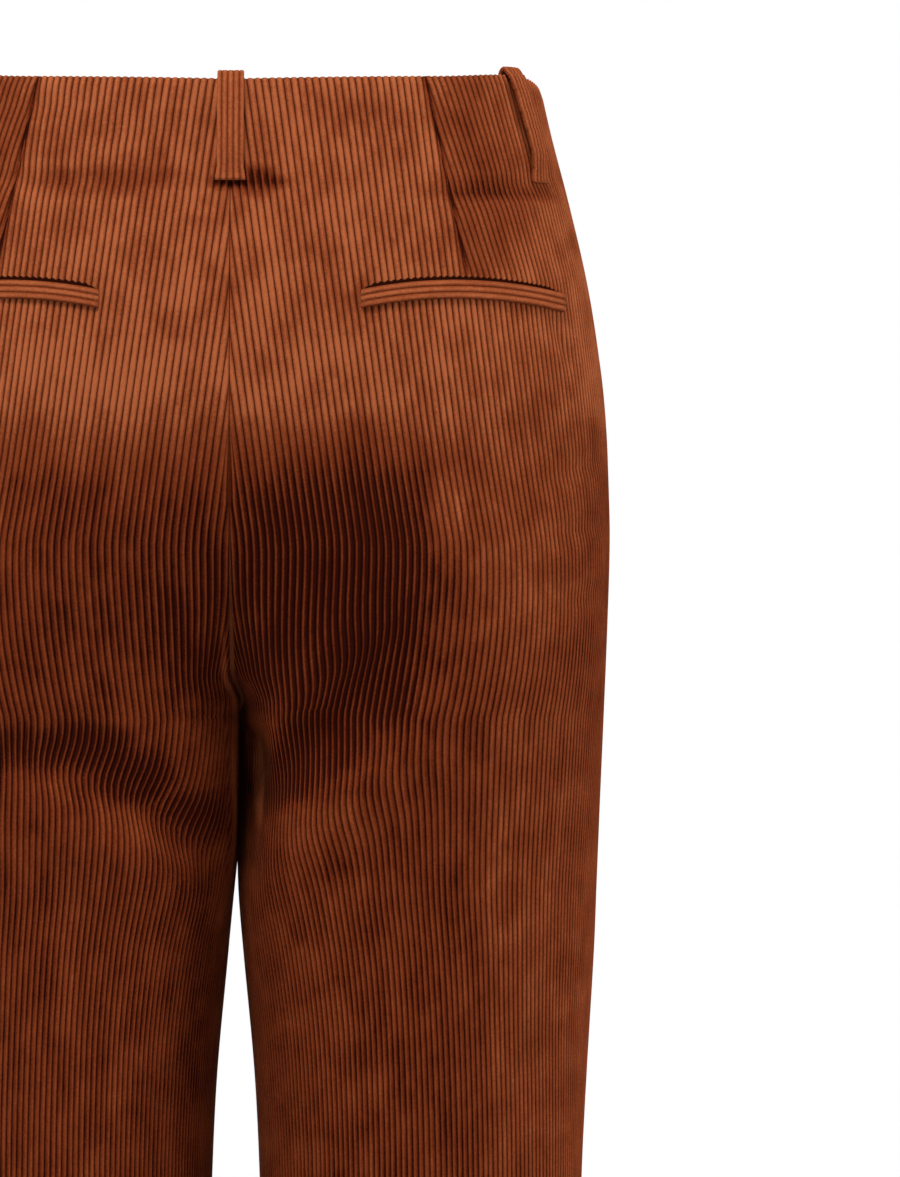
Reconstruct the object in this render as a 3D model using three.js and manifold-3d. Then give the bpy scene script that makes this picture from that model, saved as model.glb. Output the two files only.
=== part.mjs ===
// High-waisted, straight-legged corduroy trousers, hollow and filled out as when they are worn.
// Millimetres, +Z up, the front of the trousers towards -Y and the wearer's left towards +X.
// The origin is the middle of the waist opening, level with the top edge at the centre back.
import * as THREE from "three";

// Driving dimensions
const CLOTH = 1.8; // the corduroy's thickness with its pile
const SEAM_GAP = 0.3; // between two pieces that are sewn together
const SEAT_Z = -160; // where the centre back seam starts to curve under
const BELLY_Z = -200; // where the centre front seam starts to curve under
const CROTCH_Z = -298; // where the four panels meet
const HEM_Z = -1050;
const BACK_POWER = 2.1; // how square the back's half of a section is
const FRONT_POWER = 2.2;

// The trousers' outline, one row for each height: the side seam's distance from the middle, the
// inseam's distance from the middle, the depth behind and before the side seam, the side seam's
// own place from front to back, and how square a section is between the legs.
const SECTIONS = [
  { z: 12, outer: 142.8, inner: 0, back: 103.5, front: 89.5, mid: 0, square: 2.1 },
  { z: -20, outer: 149.9, inner: 0, back: 112, front: 95.5, mid: 0, square: 2.1 },
  { z: -54, outer: 158.5, inner: 0, back: 121.5, front: 100.5, mid: 0, square: 2.1 },
  { z: -94, outer: 167.5, inner: 0, back: 131.5, front: 104.5, mid: 0, square: 2.1 },
  { z: -134, outer: 173.7, inner: 0, back: 138, front: 106.5, mid: 0, square: 2.1 },
  { z: -160, outer: 176.2, inner: 0, back: 139.5, front: 107, mid: 0, square: 2.1 },
  { z: -186, outer: 177.3, inner: 0, back: 137, front: 107, mid: 0, square: 2.3 },
  { z: -215, outer: 177.9, inner: 0, back: 131.5, front: 106, mid: 0, square: 2.6 },
  { z: -254, outer: 176.8, inner: 0, back: 121.5, front: 104, mid: 0, square: 3.1 },
  { z: -298, outer: 175.0, inner: 0.5, back: 111, front: 101, mid: 0, square: 3.6 },
  { z: -344, outer: 173.0, inner: 0.6, back: 103, front: 97, mid: 0, square: 3.3 },
  { z: -379, outer: 171.6, inner: 1.2, back: 98.5, front: 94, mid: 0, square: 3.0 },
  { z: -409, outer: 170.4, inner: 3.6, back: 95.5, front: 91, mid: 0, square: 2.7 },
  { z: -466, outer: 167.0, inner: 8.8, back: 91, front: 86, mid: 1, square: 2.4 },
  { z: -514, outer: 164.6, inner: 11.2, back: 87, front: 82, mid: 1, square: 2.2 },
  { z: -640, outer: 160.8, inner: 15.0, back: 80, front: 76, mid: 3, square: 2.1 },
  { z: -850, outer: 157.6, inner: 17.5, back: 75, front: 73, mid: 6, square: 2.1 },
  { z: -1060, outer: 156.3, inner: 18.5, back: 72.5, front: 71, mid: 8, square: 2.1 },
];

// The top edge's height round the waist: share 0 is the side seam and 1 the centre.
const TOP_BACK = [
  { share: 0, z: -2 },
  { share: 0.22, z: 4.5 },
  { share: 0.5, z: 2.5 },
  { share: 1, z: 0 },
];
const TOP_FRONT = [
  { share: 0, z: -2 },
  { share: 0.5, z: -8 },
  { share: 1, z: -11 },
];
const TOP_FADE = 90; // the slant of the top edge has died out this far below it

// The largest folds of the cloth. Each runs from one place to another, given by its distance from
// the middle and its height, raises the cloth by depth (or sinks it, if negative) and fades over
// its half width. The two legs' folds differ a little, so each row names its panel, and all of
// them die out at the seams.
const FOLDS = [
  { on: "back_right", x0: 9, z0: -345, x1: 88, z1: -261, half: 18, depth: -6.5 },
  { on: "back_right", x0: 24, z0: -366, x1: 96, z1: -300, half: 20, depth: 4.0 },
  { on: "back_right", x0: 94, z0: -395, x1: 89, z1: -980, half: 20, depth: 3.6 },
  { on: "back_right", x0: 112, z0: -358, x1: 70, z1: -440, half: 18, depth: -2.6 },
  { on: "back_right", x0: 30, z0: -560, x1: 48, z1: -820, half: 22, depth: -3.0 },
  { on: "back_right", x0: 140, z0: -636, x1: 75, z1: -690, half: 24, depth: -3.0 },
  { on: "back_left", x0: 17, z0: -360, x1: 70, z1: -316, half: 18, depth: -6.5 },
  { on: "back_left", x0: 70, z0: -316, x1: 128, z1: -324, half: 18, depth: -4.5 },
  { on: "back_left", x0: 26, z0: -376, x1: 96, z1: -342, half: 20, depth: 4.4 },
  { on: "back_left", x0: 93, z0: -410, x1: 88, z1: -960, half: 20, depth: 3.6 },
  { on: "back_left", x0: 28, z0: -590, x1: 46, z1: -860, half: 22, depth: -3.2 },
  { on: "back_left", x0: 142, z0: -650, x1: 78, z1: -702, half: 24, depth: -3.2 },
  { on: "front_right", x0: 8, z0: -284, x1: 92, z1: -236, half: 18, depth: 1.6 },
  { on: "front_right", x0: 12, z0: -330, x1: 100, z1: -280, half: 20, depth: -3.4 },
  { on: "front_right", x0: 90, z0: -360, x1: 88, z1: -980, half: 24, depth: 4.0 },
  { on: "front_right", x0: 150, z0: -628, x1: 86, z1: -665, half: 24, depth: -3.0 },
  { on: "front_left", x0: 8, z0: -290, x1: 90, z1: -242, half: 18, depth: 1.8 },
  { on: "front_left", x0: 12, z0: -338, x1: 102, z1: -290, half: 20, depth: -3.6 },
  { on: "front_left", x0: 90, z0: -370, x1: 88, z1: -985, half: 24, depth: 4.0 },
  { on: "front_left", x0: 148, z0: -640, x1: 84, z1: -672, half: 24, depth: -2.8 },
];

// Centre darts of the back: a stitched fold from the top edge to the pocket's mouth.
const DART = { topX: 90.6, endX: 110, endZ: -92, depth: 1.0, half: 2.4, column: 0.014 };

// Welt pockets of the back, between two distances from the middle.
const WELT = { x0: 155, x1: 60.5, topZ: -94, arch: 5, height: 8.6, thick: 1.7, steps: 14 };

// In-seam hip pockets: the side seam stands open here, over a facing.
const MOUTH = { topZ: -64, endZ: -200, gap: 1.3, fade: 8 };
const FACING = { width: 26, thick: 1.4, overlap: 8, clear: 0.7, rows: 12, columns: 4 };

const LOOP = { width: 12.4, thick: 2.0, above: 3.8, length: 52, bow: 1.9, inside: 9, columns: 4 };
const LOOP_PLACES = [
  { name: "belt_loop_centre_back", front: false, side: 1, x: 0, footX: 0 },
  { name: "belt_loop_back_left", front: false, side: 1, x: 131, footX: 145 },
  { name: "belt_loop_back_right", front: false, side: -1, x: 131, footX: 145 },
  { name: "belt_loop_front_left", front: true, side: 1, x: 92, footX: 102 },
  { name: "belt_loop_front_right", front: true, side: -1, x: 92, footX: 102 },
];

const FLY = {
  width: 36,
  tip: 3, // what is left of the width at its lower end
  topZ: -1,
  endZ: -182,
  corner: 34,
  inset: 0.4, // from the centre front
  thick: 1.6,
  thinEdge: 0.5,
  rows: 14,
  columns: 4,
};
const BUTTON = {
  radius: 8.5,
  thick: 3.2,
  rim: 1.4,
  dish: 0.8,
  hole: 0.95,
  spread: 1.7,
  z: -17,
  fromCentre: 10,
};

const COLOURS = { cloth: "#8a4527", welt: "#94492a", loop: "#8f4729", button: "#4a2413" };

// Panel grid
const COLUMNS = 16;
const UPPER_ROWS = 12; // from the top edge to where the crotch curve starts
const CROTCH_ROWS = 11;
const LEG_ROWS = 19;
const ROW_POWER = 2.4; // how the rows crowd together round the crotch
const ROW_CROWDING = 0.9; // how much of that crowding is used
const LEG_TOP_Z = CROTCH_Z - 24; // where the row through the crotch meets the side seam
const LEG_ROW_EVENNESS = 0.6; // 1 spaces the leg's rows evenly; less crowds them at its top
const LEVEL_TO_SHARE = 0.25; // from the side seam to here, the rows are level
const SAMPLES = 48; // steps of a section's outline before it is divided evenly

const LIE = SEAM_GAP + 0.15; // what lies on a panel is this far off it
const SEAM_FADE = 0.07; // folds die out within this share of the side seam
const CENTRE_FADE = 0.1; // and within this share of the centre seam
const SHARE_STEP = 0.01; // steps that measure which way the cloth faces
const HEIGHT_STEP = 2;

const { clamp, lerp, smoothstep } = THREE.MathUtils;

// A smooth curve through a table's values, read at one place.
function readTable(table, key, column, at) {
  const down = table[0][key] > table[table.length - 1][key];
  const order = down ? -1 : 1;
  const place = clamp(
    at * order,
    table[0][key] * order,
    table[table.length - 1][key] * order,
  );
  let i = 0;
  while (i < table.length - 2 && place > table[i + 1][key] * order) i += 1;
  const slopeAt = (k) => {
    const before = table[Math.max(k - 1, 0)];
    const after = table[Math.min(k + 1, table.length - 1)];
    return (after[column] - before[column]) / ((after[key] - before[key]) * order);
  };
  const step = (table[i + 1][key] - table[i][key]) * order;
  const t = (place - table[i][key] * order) / step;
  const t2 = t * t;
  const t3 = t2 * t;
  return (
    (2 * t3 - 3 * t2 + 1) * table[i][column] +
    (t3 - 2 * t2 + t) * step * slopeAt(i) +
    (3 * t2 - 2 * t3) * table[i + 1][column] +
    (t3 - t2) * step * slopeAt(i + 1)
  );
}

// Divides a line of points evenly by its length and returns a reader of it.
function evenly(points) {
  const lengths = [0];
  for (let i = 1; i < points.length; i += 1) {
    const step = Math.hypot(points[i][0] - points[i - 1][0], points[i][1] - points[i - 1][1]);
    lengths.push(lengths[i - 1] + step);
  }
  const total = lengths[lengths.length - 1];
  const at = (share) => {
    const want = clamp(share, 0, 1) * total;
    let i = 0;
    while (i < lengths.length - 2 && lengths[i + 1] < want) i += 1;
    const t = (want - lengths[i]) / Math.max(lengths[i + 1] - lengths[i], 1e-9);
    return [lerp(points[i][0], points[i + 1][0], t), lerp(points[i][1], points[i + 1][1], t)];
  };
  return { total, at };
}

// One half section at a height, from the side seam (share 0) to the centre seam or inseam
// (share 1). Above the seat it is a quarter of an oval. Below it the oval's own centre moves out
// from the middle, so the section wraps under, until at the crotch it is half of a leg's tube.
function halfSection(front, z) {
  const read = (column) => readTable(SECTIONS, "z", column, z);
  const outer = read("outer");
  const inner = Math.max(read("inner"), 0);
  const depth = front ? -read("front") : read("back");
  const power = front ? FRONT_POWER : BACK_POWER;
  const innerPower = Math.max(read("square"), power);
  const startZ = front ? BELLY_Z : SEAT_Z;
  const offCentre = smoothstep(startZ - z, 0, startZ - CROTCH_Z);
  const half = (outer - inner) / (1 + offCentre);
  const lastTurn = Math.acos(-Math.pow(offCentre, innerPower / 2));
  const points = [];
  for (let i = 0; i <= SAMPLES; i += 1) {
    const turn = (i / SAMPLES) * lastTurn;
    const across = Math.cos(turn);
    const bend = 2 / (across > 0 ? power : innerPower);
    const x = outer - half + half * Math.sign(across) * Math.pow(Math.abs(across), bend);
    const y = read("mid") + depth * Math.pow(Math.max(Math.sin(turn), 0), bend);
    points.push([x, y]);
  }
  return evenly(points);
}

const sections = new Map(); // sections already worked out
function sectionAt(front, z) {
  const key = (front ? "f" : "b") + z.toFixed(3);
  if (!sections.has(key)) sections.set(key, halfSection(front, z));
  return sections.get(key);
}

// The share at which a half section lies at a distance from the middle.
function shareAt(front, z, x) {
  const section = sectionAt(front, z);
  let low = 0;
  let high = 1;
  for (let i = 0; i < 20; i += 1) {
    const middle = (low + high) / 2;
    if (section.at(middle)[0] > x) low = middle;
    else high = middle;
  }
  return (low + high) / 2;
}

// The top edge's height above the level rows, faded out below the waist.
function topRise(front, share, z) {
  const rise = readTable(front ? TOP_FRONT : TOP_BACK, "share", "z", share);
  return rise * (1 - smoothstep(-z, 0, TOP_FADE));
}

// The dart's share at a height.
function dartShare(z) {
  const down = clamp(z / DART.endZ, 0, 1);
  return shareAt(false, z, lerp(DART.topX, DART.endX, down));
}

// The folds' ends along the cloth, measured from the side seam.
for (const fold of FOLDS) {
  const front = fold.on.startsWith("front");
  fold.s0 = shareAt(front, fold.z0, fold.x0) * sectionAt(front, fold.z0).total;
  fold.s1 = shareAt(front, fold.z1, fold.x1) * sectionAt(front, fold.z1).total;
}

// How far the folds and the dart move the cloth at a place of one panel.
function foldHeight(panel, share, z, length) {
  let sum = 0;
  for (const { on, s0, z0, s1, z1, half, depth } of FOLDS) {
    if (on !== panel) continue;
    const s = share * length;
    const run = (s1 - s0) ** 2 + (z1 - z0) ** 2;
    const t = clamp(((s - s0) * (s1 - s0) + (z - z0) * (z1 - z0)) / run, 0, 1);
    const off = Math.hypot(s - lerp(s0, s1, t), z - lerp(z0, z1, t));
    const ends = Math.sin(Math.PI * clamp(0.12 + 0.76 * t, 0, 1));
    sum += depth * ends * Math.exp(-(off * off) / (half * half));
  }
  sum *= smoothstep(share, 0, SEAM_FADE) * (1 - smoothstep(share, 1 - CENTRE_FADE, 1));
  if (panel.startsWith("back") && z > DART.endZ) {
    const off = ((share - dartShare(z)) * length) / DART.half;
    sum -= DART.depth * Math.exp(-off * off);
  }
  return sum;
}

// A place on the outside of one panel, moved out by lift. side is 1 on the wearer's left.
function onCloth(front, side, share, z, lift = 0) {
  const panel = (front ? "front_" : "back_") + (side > 0 ? "left" : "right");
  const place = (s, h) => {
    const height = h + topRise(front, s, h);
    const section = sectionAt(front, h);
    const [x, y] = section.at(s);
    return { point: new THREE.Vector3(x, y, height), length: section.total };
  };
  const here = place(share, z);
  const before = place(Math.max(share - SHARE_STEP, 0), z).point;
  const after = place(Math.min(share + SHARE_STEP, 1), z).point;
  const above = place(share, z + HEIGHT_STEP).point;
  const below = place(share, z - HEIGHT_STEP).point;
  const across = after.sub(before);
  const up = above.sub(below);
  const normal = across.cross(up).normalize();
  if (front) normal.negate();
  const moved = foldHeight(panel, share, z, here.length) + lift;
  const point = here.point.addScaledVector(normal, moved);
  point.x *= side;
  normal.x *= side;
  return { point, normal, length: here.length };
}

// Joins a grid of outer points and one of inner points into a closed wall.
function wallGeometry(outer, inner, flip) {
  const rows = outer.length;
  const columns = outer[0].length;
  const positions = [];
  for (const layer of [outer, inner])
    for (const row of layer) for (const p of row) positions.push(p.x, p.y, p.z);
  const at = (layer, r, c) => layer * rows * columns + r * columns + c;
  const index = [];
  const quad = (a, b, c, d) => {
    if (flip) index.push(a, c, b, a, d, c);
    else index.push(a, b, c, a, c, d);
  };
  for (let r = 0; r < rows - 1; r += 1)
    for (let c = 0; c < columns - 1; c += 1) {
      quad(at(0, r, c), at(0, r + 1, c), at(0, r + 1, c + 1), at(0, r, c + 1));
      quad(at(1, r, c), at(1, r, c + 1), at(1, r + 1, c + 1), at(1, r + 1, c));
    }
  for (let c = 0; c < columns - 1; c += 1) {
    quad(at(0, 0, c), at(0, 0, c + 1), at(1, 0, c + 1), at(1, 0, c));
    const r = rows - 1;
    quad(at(0, r, c + 1), at(0, r, c), at(1, r, c), at(1, r, c + 1));
  }
  for (let r = 0; r < rows - 1; r += 1) {
    quad(at(0, r + 1, 0), at(0, r, 0), at(1, r, 0), at(1, r + 1, 0));
    const c = columns - 1;
    quad(at(0, r, c), at(0, r + 1, c), at(1, r + 1, c), at(1, r, c));
  }
  const geometry = new THREE.BufferGeometry();
  geometry.setAttribute("position", new THREE.Float32BufferAttribute(positions, 3));
  geometry.setIndex(index);
  geometry.computeVertexNormals();
  return geometry;
}

const group = new THREE.Group();

function addMesh(name, geometry, colour, roughness = 0.95) {
  const material = new THREE.MeshStandardMaterial({ color: colour, roughness, metalness: 0 });
  const mesh = new THREE.Mesh(geometry, material);
  mesh.name = name;
  group.add(mesh);
  return mesh;
}

// The heights of a panel's rows at its side seam and at its centre seam. Round the crotch the
// rows crowd together at the centre seam, where the cloth turns under.
function rowHeights(front) {
  const startZ = front ? BELLY_Z : SEAT_Z;
  const rows = [];
  for (let i = 0; i < UPPER_ROWS; i += 1) {
    const z = (startZ * i) / UPPER_ROWS;
    rows.push({ side: z, centre: z });
  }
  for (let i = 0; i <= CROTCH_ROWS; i += 1) {
    const t = i / CROTCH_ROWS;
    const crowded = Math.pow(1 - Math.pow(1 - t, ROW_POWER), 1 / ROW_POWER);
    const centre = lerp(startZ, CROTCH_Z, lerp(t, crowded, ROW_CROWDING));
    rows.push({ side: lerp(startZ, LEG_TOP_Z, t), centre });
  }
  for (let i = 1; i <= LEG_ROWS; i += 1) {
    const even = i / LEG_ROWS;
    const t = lerp(even * even, even, LEG_ROW_EVENNESS);
    rows.push({ side: lerp(LEG_TOP_Z, HEM_Z, t), centre: lerp(CROTCH_Z, HEM_Z, t) });
  }
  return rows;
}

// The shares of a panel's columns. On the back, a close pair stands on each side of the dart.
function columnShares(front) {
  const shares = [];
  for (let i = 0; i <= COLUMNS; i += 1) shares.push(i / COLUMNS);
  if (front) return shares;
  const middle = dartShare(DART.endZ);
  const kept = shares.filter((share) => Math.abs(share - middle) > 2 * DART.column);
  kept.push(middle - DART.column, middle, middle + DART.column);
  return kept.sort((a, b) => a - b);
}

// How far a panel's edge keeps back from the side seam, which stands open at the hip pocket.
function sideGap(z) {
  const open =
    smoothstep(MOUTH.topZ - z, 0, MOUTH.fade) * (1 - smoothstep(MOUTH.endZ - z, -MOUTH.fade, 0));
  return lerp(SEAM_GAP, MOUTH.gap, open) / 2;
}

// Draws a dart's columns over to the dart's slanting line.
function dartShift(share, z) {
  const middle = dartShare(DART.endZ);
  const weight = 1 - smoothstep(Math.abs(share - middle), 0.02, 0.4);
  const fade = 1 - smoothstep(-z, -DART.endZ, -DART.endZ * 2);
  return share + (dartShare(z) - middle) * weight * fade;
}

function panel(name, front, side) {
  const outer = [];
  const inner = [];
  for (const row of rowHeights(front)) {
    const outerRow = [];
    const innerRow = [];
    for (const column of columnShares(front)) {
      const z = lerp(row.side, row.centre, smoothstep(column, LEVEL_TO_SHARE, 1));
      const length = sectionAt(front, z).total;
      const share = front ? column : dartShift(column, z);
      const kept = clamp(share, sideGap(z) / length, 1 - SEAM_GAP / 2 / length);
      const { point, normal } = onCloth(front, side, kept, z);
      const under = point.clone().addScaledVector(normal, -CLOTH);
      for (const p of [point, under]) {
        if (z > HEM_Z + 1) p.x = side * Math.max(side * p.x, SEAM_GAP / 2);
        else p.z = HEM_Z;
      }
      outerRow.push(point);
      innerRow.push(under);
    }
    outer.push(outerRow);
    inner.push(innerRow);
  }
  addMesh(name, wallGeometry(outer, inner, front === side > 0), COLOURS.cloth);
}

// A strip that lies on a panel: its outer and inner points are the panel's, moved out.
function strip(name, front, side, places, lift, thick, colour) {
  const outer = [];
  const inner = [];
  for (const row of places) {
    outer.push(row.map((p) => onCloth(front, side, p.share, p.z, lift + (p.thick ?? thick)).point));
    inner.push(row.map((p) => onCloth(front, side, p.share, p.z, lift).point));
  }
  addMesh(name, wallGeometry(outer, inner, front === side > 0), colour);
}

function backPocketWelt(name, side) {
  const places = [0, 1].map((r) => {
    const row = [];
    for (let i = 0; i <= WELT.steps; i += 1) {
      const t = i / WELT.steps;
      const top = WELT.topZ - WELT.arch * Math.pow(2 * t - 1, 2);
      const z = top - r * WELT.height;
      row.push({ share: shareAt(false, z, lerp(WELT.x0, WELT.x1, t)), z });
    }
    return row;
  });
  strip(name, false, side, places, LIE, WELT.thick, COLOURS.welt);
}

// The strip behind the open side seam, made of back and front points moved inwards.
function sidePocketFacing(name, side) {
  const outer = [];
  const inner = [];
  const top = MOUTH.topZ + FACING.overlap;
  const end = MOUTH.endZ - FACING.overlap;
  for (let r = 0; r <= FACING.rows; r += 1) {
    const z = lerp(top, end, r / FACING.rows);
    const outerRow = [];
    const innerRow = [];
    for (let c = 0; c <= FACING.columns; c += 1) {
      const across = (c / FACING.columns - 0.5) * FACING.width;
      const front = across < 0;
      const share = Math.abs(across) / sectionAt(front, z).total;
      const deep = -CLOTH - SEAM_GAP - FACING.clear;
      outerRow.push(onCloth(front, side, share, z, deep).point);
      innerRow.push(onCloth(front, side, share, z, deep - FACING.thick).point);
    }
    outer.push(outerRow);
    inner.push(innerRow);
  }
  addMesh(name, wallGeometry(outer, inner, side < 0), COLOURS.cloth);
}

// A belt loop: a folded strip that starts flat on the cloth below, bows off it, goes over the top
// edge and is caught inside.
function beltLoop({ name, front, side, x, footX }) {
  const { thick, width } = LOOP;
  const rest = LIE + thick / 2;
  const inside = -CLOTH - LIE - thick / 2;
  const overTop = LOOP.above - thick / 2;
  const line = [
    { out: rest, z: LOOP.above - LOOP.length },
    { out: rest + 0.2, z: LOOP.above - LOOP.length + 5 },
    { out: rest + LOOP.bow, z: LOOP.above - LOOP.length + 14 },
    { out: rest + LOOP.bow, z: -9 },
    { out: rest + LOOP.bow * 0.6, z: -1.5 },
    { out: lerp(rest, inside, 0.3), z: overTop - 0.3 },
    { out: lerp(rest, inside, 0.7), z: overTop - 0.3 },
    { out: inside - 0.2, z: -0.6 },
    { out: inside, z: -LOOP.inside },
  ].map((p) => new THREE.Vector2(p.out, p.z));
  const outer = [];
  const inner = [];
  line.forEach((p, i) => {
    const before = line[Math.max(i - 1, 0)];
    const after = line[Math.min(i + 1, line.length - 1)];
    const along = after.clone().sub(before).normalize();
    const away = new THREE.Vector2(along.y, -along.x);
    for (const [rows, face] of [[outer, 1], [inner, -1]]) {
      const at = p.clone().addScaledVector(away, (face * thick) / 2);
      const z = Math.min(at.y, 0);
      const down = clamp(-z / (LOOP.length - LOOP.above), 0, 1);
      const middle = shareAt(front, z, lerp(x, footX, down));
      const row = [];
      for (let c = 0; c <= LOOP.columns; c += 1) {
        const across = (c / LOOP.columns - 0.5) * width;
        const wide = middle + across / sectionAt(front, z).total;
        const past = wide > 1; // over the centre seam, on the other panel
        const near = past ? 2 - wide : wide;
        const { point } = onCloth(front, past ? -side : side, near, z, at.x);
        if (at.y > 0) point.z = at.y + topRise(front, near, 0);
        row.push(point);
      }
      rows.push(row);
    }
  });
  addMesh(name, wallGeometry(outer, inner, front !== side > 0), COLOURS.loop);
}

// The fly's lap, on the wearer's right front: thick at the centre front and thin where it is
// stitched down, with a rounded lower corner.
function flyLap(name) {
  const places = [];
  for (let r = 0; r <= FLY.rows; r += 1) {
    const z = lerp(FLY.topZ, FLY.endZ, r / FLY.rows);
    const low = clamp((z - FLY.endZ) / FLY.corner, 0, 1);
    const width = Math.max(FLY.width * Math.sqrt(1 - Math.pow(1 - low, 2)), FLY.tip);
    const length = sectionAt(true, z).total;
    const row = [];
    for (let c = 0; c <= FLY.columns; c += 1) {
      const across = lerp(width, FLY.inset, c / FLY.columns);
      const thick = lerp(FLY.thinEdge, FLY.thick, smoothstep(c / FLY.columns, 0.2, 1));
      row.push({ share: 1 - across / length, z, thick });
    }
    places.push(row);
  }
  strip(name, true, -1, places, LIE, FLY.thick, COLOURS.cloth);
}

// A round, four-hole button with a raised rim, sewn on the fly's lap.
async function flyButton(name) {
  const { default: Module } = await import("manifold-3d");
  const { mergeVertices } = await import("three/addons/utils/BufferGeometryUtils.js");
  const wasm = await Module();
  wasm.setup();
  const solidOf = (geometry) => {
    const bare = geometry.clone().deleteAttribute("normal").deleteAttribute("uv");
    const merged = mergeVertices(bare, 1e-4);
    return new wasm.Manifold(
      new wasm.Mesh({
        numProp: 3,
        vertProperties: new Float32Array(merged.attributes.position.array),
        triVerts: new Uint32Array(merged.index.array),
      }),
    );
  };
  const { radius, thick, rim, dish, hole, spread } = BUTTON;
  const profile = [
    [0, 0],
    [radius - 0.8, 0],
    [radius, 0.9],
    [radius - 0.2, thick - 0.3],
    [radius - 0.8, thick],
    [radius - rim, thick - 0.1],
    [radius - rim - 0.9, thick - dish],
    [0, thick - dish],
  ].map(([x, y]) => new THREE.Vector2(x, y));
  let body = solidOf(new THREE.LatheGeometry(profile, 28));
  for (const [x, z] of [[1, 1], [1, -1], [-1, 1], [-1, -1]]) {
    const drill = new THREE.CylinderGeometry(hole, hole, thick * 3, 10);
    drill.translate(x * spread, 0, z * spread);
    body = body.subtract(solidOf(drill));
  }
  const made = body.getMesh();
  const geometry = new THREE.BufferGeometry();
  const points = new Float32Array(made.vertProperties);
  geometry.setAttribute("position", new THREE.BufferAttribute(points, 3));
  geometry.setIndex(new THREE.BufferAttribute(new Uint32Array(made.triVerts), 1));
  geometry.computeVertexNormals();
  const share = 1 - BUTTON.fromCentre / sectionAt(true, BUTTON.z).total;
  const seat = onCloth(true, -1, share, BUTTON.z, LIE + FLY.thick + SEAM_GAP + 0.25);
  const mesh = addMesh(name, geometry, COLOURS.button, 0.35);
  mesh.position.copy(seat.point);
  mesh.quaternion.setFromUnitVectors(new THREE.Vector3(0, 1, 0), seat.normal);
}

panel("back_left", false, 1);
panel("back_right", false, -1);
panel("front_left", true, 1);
panel("front_right", true, -1);
backPocketWelt("back_pocket_welt_left", 1);
backPocketWelt("back_pocket_welt_right", -1);
sidePocketFacing("side_pocket_facing_left", 1);
sidePocketFacing("side_pocket_facing_right", -1);
flyLap("fly_lap");
await flyButton("fly_button");
for (const place of LOOP_PLACES) beltLoop(place);

export default group;
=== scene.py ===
"""High-waisted corduroy trousers, seen from the back and filled out as they are when worn."""

import math

import bmesh
import bpy
import numpy as np
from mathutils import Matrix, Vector


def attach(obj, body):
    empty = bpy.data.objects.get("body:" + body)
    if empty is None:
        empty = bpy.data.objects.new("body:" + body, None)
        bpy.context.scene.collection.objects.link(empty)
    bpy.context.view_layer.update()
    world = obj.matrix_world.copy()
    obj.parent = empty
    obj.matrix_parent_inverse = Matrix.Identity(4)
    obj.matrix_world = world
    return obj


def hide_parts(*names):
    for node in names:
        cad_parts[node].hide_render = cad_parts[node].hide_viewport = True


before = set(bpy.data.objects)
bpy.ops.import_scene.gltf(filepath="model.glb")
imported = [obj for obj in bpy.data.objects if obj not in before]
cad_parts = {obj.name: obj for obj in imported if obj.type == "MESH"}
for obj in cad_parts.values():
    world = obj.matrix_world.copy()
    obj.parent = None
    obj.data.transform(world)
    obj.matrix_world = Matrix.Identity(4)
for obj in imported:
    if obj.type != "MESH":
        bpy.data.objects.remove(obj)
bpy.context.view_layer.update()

BACK, FRONT = False, True

# Sizes, in millimetres unless said
MM = 0.001
CLOTH = 1.8
SEAT_Z = -160
BELLY_Z = -200
HIP_Z = -215
CROTCH_Z = -298
HEM_Z = -1050
BACK_POWER = 2.1  # how square a section is: 2 is an ellipse
FRONT_POWER = 2.2
TOP_FADE = 90  # the top edge's rise and fall is gone so far down
SEAM_FADE = 0.07  # folds fade out over this share at the side seam
CENTRE_FADE = 0.1  # and over this one at the centre
FOLD_END = 0.12  # each fold starts and ends this share of the way into its rise and fall
LIE = 0.45  # what lies on a panel is this far off it

# The corduroy's wales
WALE = 3.4
WALE_DEPTH = 0.95
FIRST_WALE = 40  # small pieces count their wales from here
WALE_PROFILE = ((0.0, 0.0), (0.1, 0.62), (0.32, 0.97), (0.68, 1.0), (0.9, 0.66))  # place, height

# The pile's colours from brushed down and in painted shade to brushed up and in painted light, and what
# shows in the grooves, likewise
PILE_LIT_AND_SHADED = (
    (0.0, (0.036, 0.0036, 0.0008)),
    (0.35, (0.150, 0.0225, 0.0052)),
    (0.7, (0.262, 0.055, 0.0160)),
    (1.0, (0.44, 0.118, 0.042)),
)
GROOVES_LIT_AND_SHADED = ((0.0, (0.008, 0.0010, 0.0004)), (1.0, (0.125, 0.023, 0.0075)))
# Across one wale: how much of the groove shows, the painted highlight on the crown, and the painted
# highlight on one flank
GROOVE_SHADES = ((0.0, 1.0), (0.05, 0.85), (0.14, 0.0), (0.86, 0.0), (0.95, 0.85), (1.0, 1.0))
CROWN_HIGHLIGHT = ((0.0, 0.0), (0.2, 0.35), (0.42, 1.0), (0.62, 0.9), (0.84, 0.3), (1.0, 0.0))
FLANK_HIGHLIGHT = ((0.0, 0.1), (0.48, 0.0), (0.64, 1.0), (0.76, 1.0), (0.9, 0.1))
DARK_NAP_AND_SHADE = ((0.15, 1.0), (0.66, 0.0))  # from 1 where the nap is brushed down and in painted shade to 0 where it is light
GROOVE_SOFTENED = 0.5  # how much less the grooves show where the nap is brushed down and in painted shade
LINES_SHOWN = 0.5  # how much a painted highlight lights one flank of each wale there
SHEEN = 0.12
SHEEN_ROUGHNESS = 0.38
SHEEN_TINT = (1.0, 0.36, 0.14)
NAP_MOVED = (0.62, 0.3, 0.48, 0.32)  # by its brushing, the streaks, the tufts and the painted highlight on the crown
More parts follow.
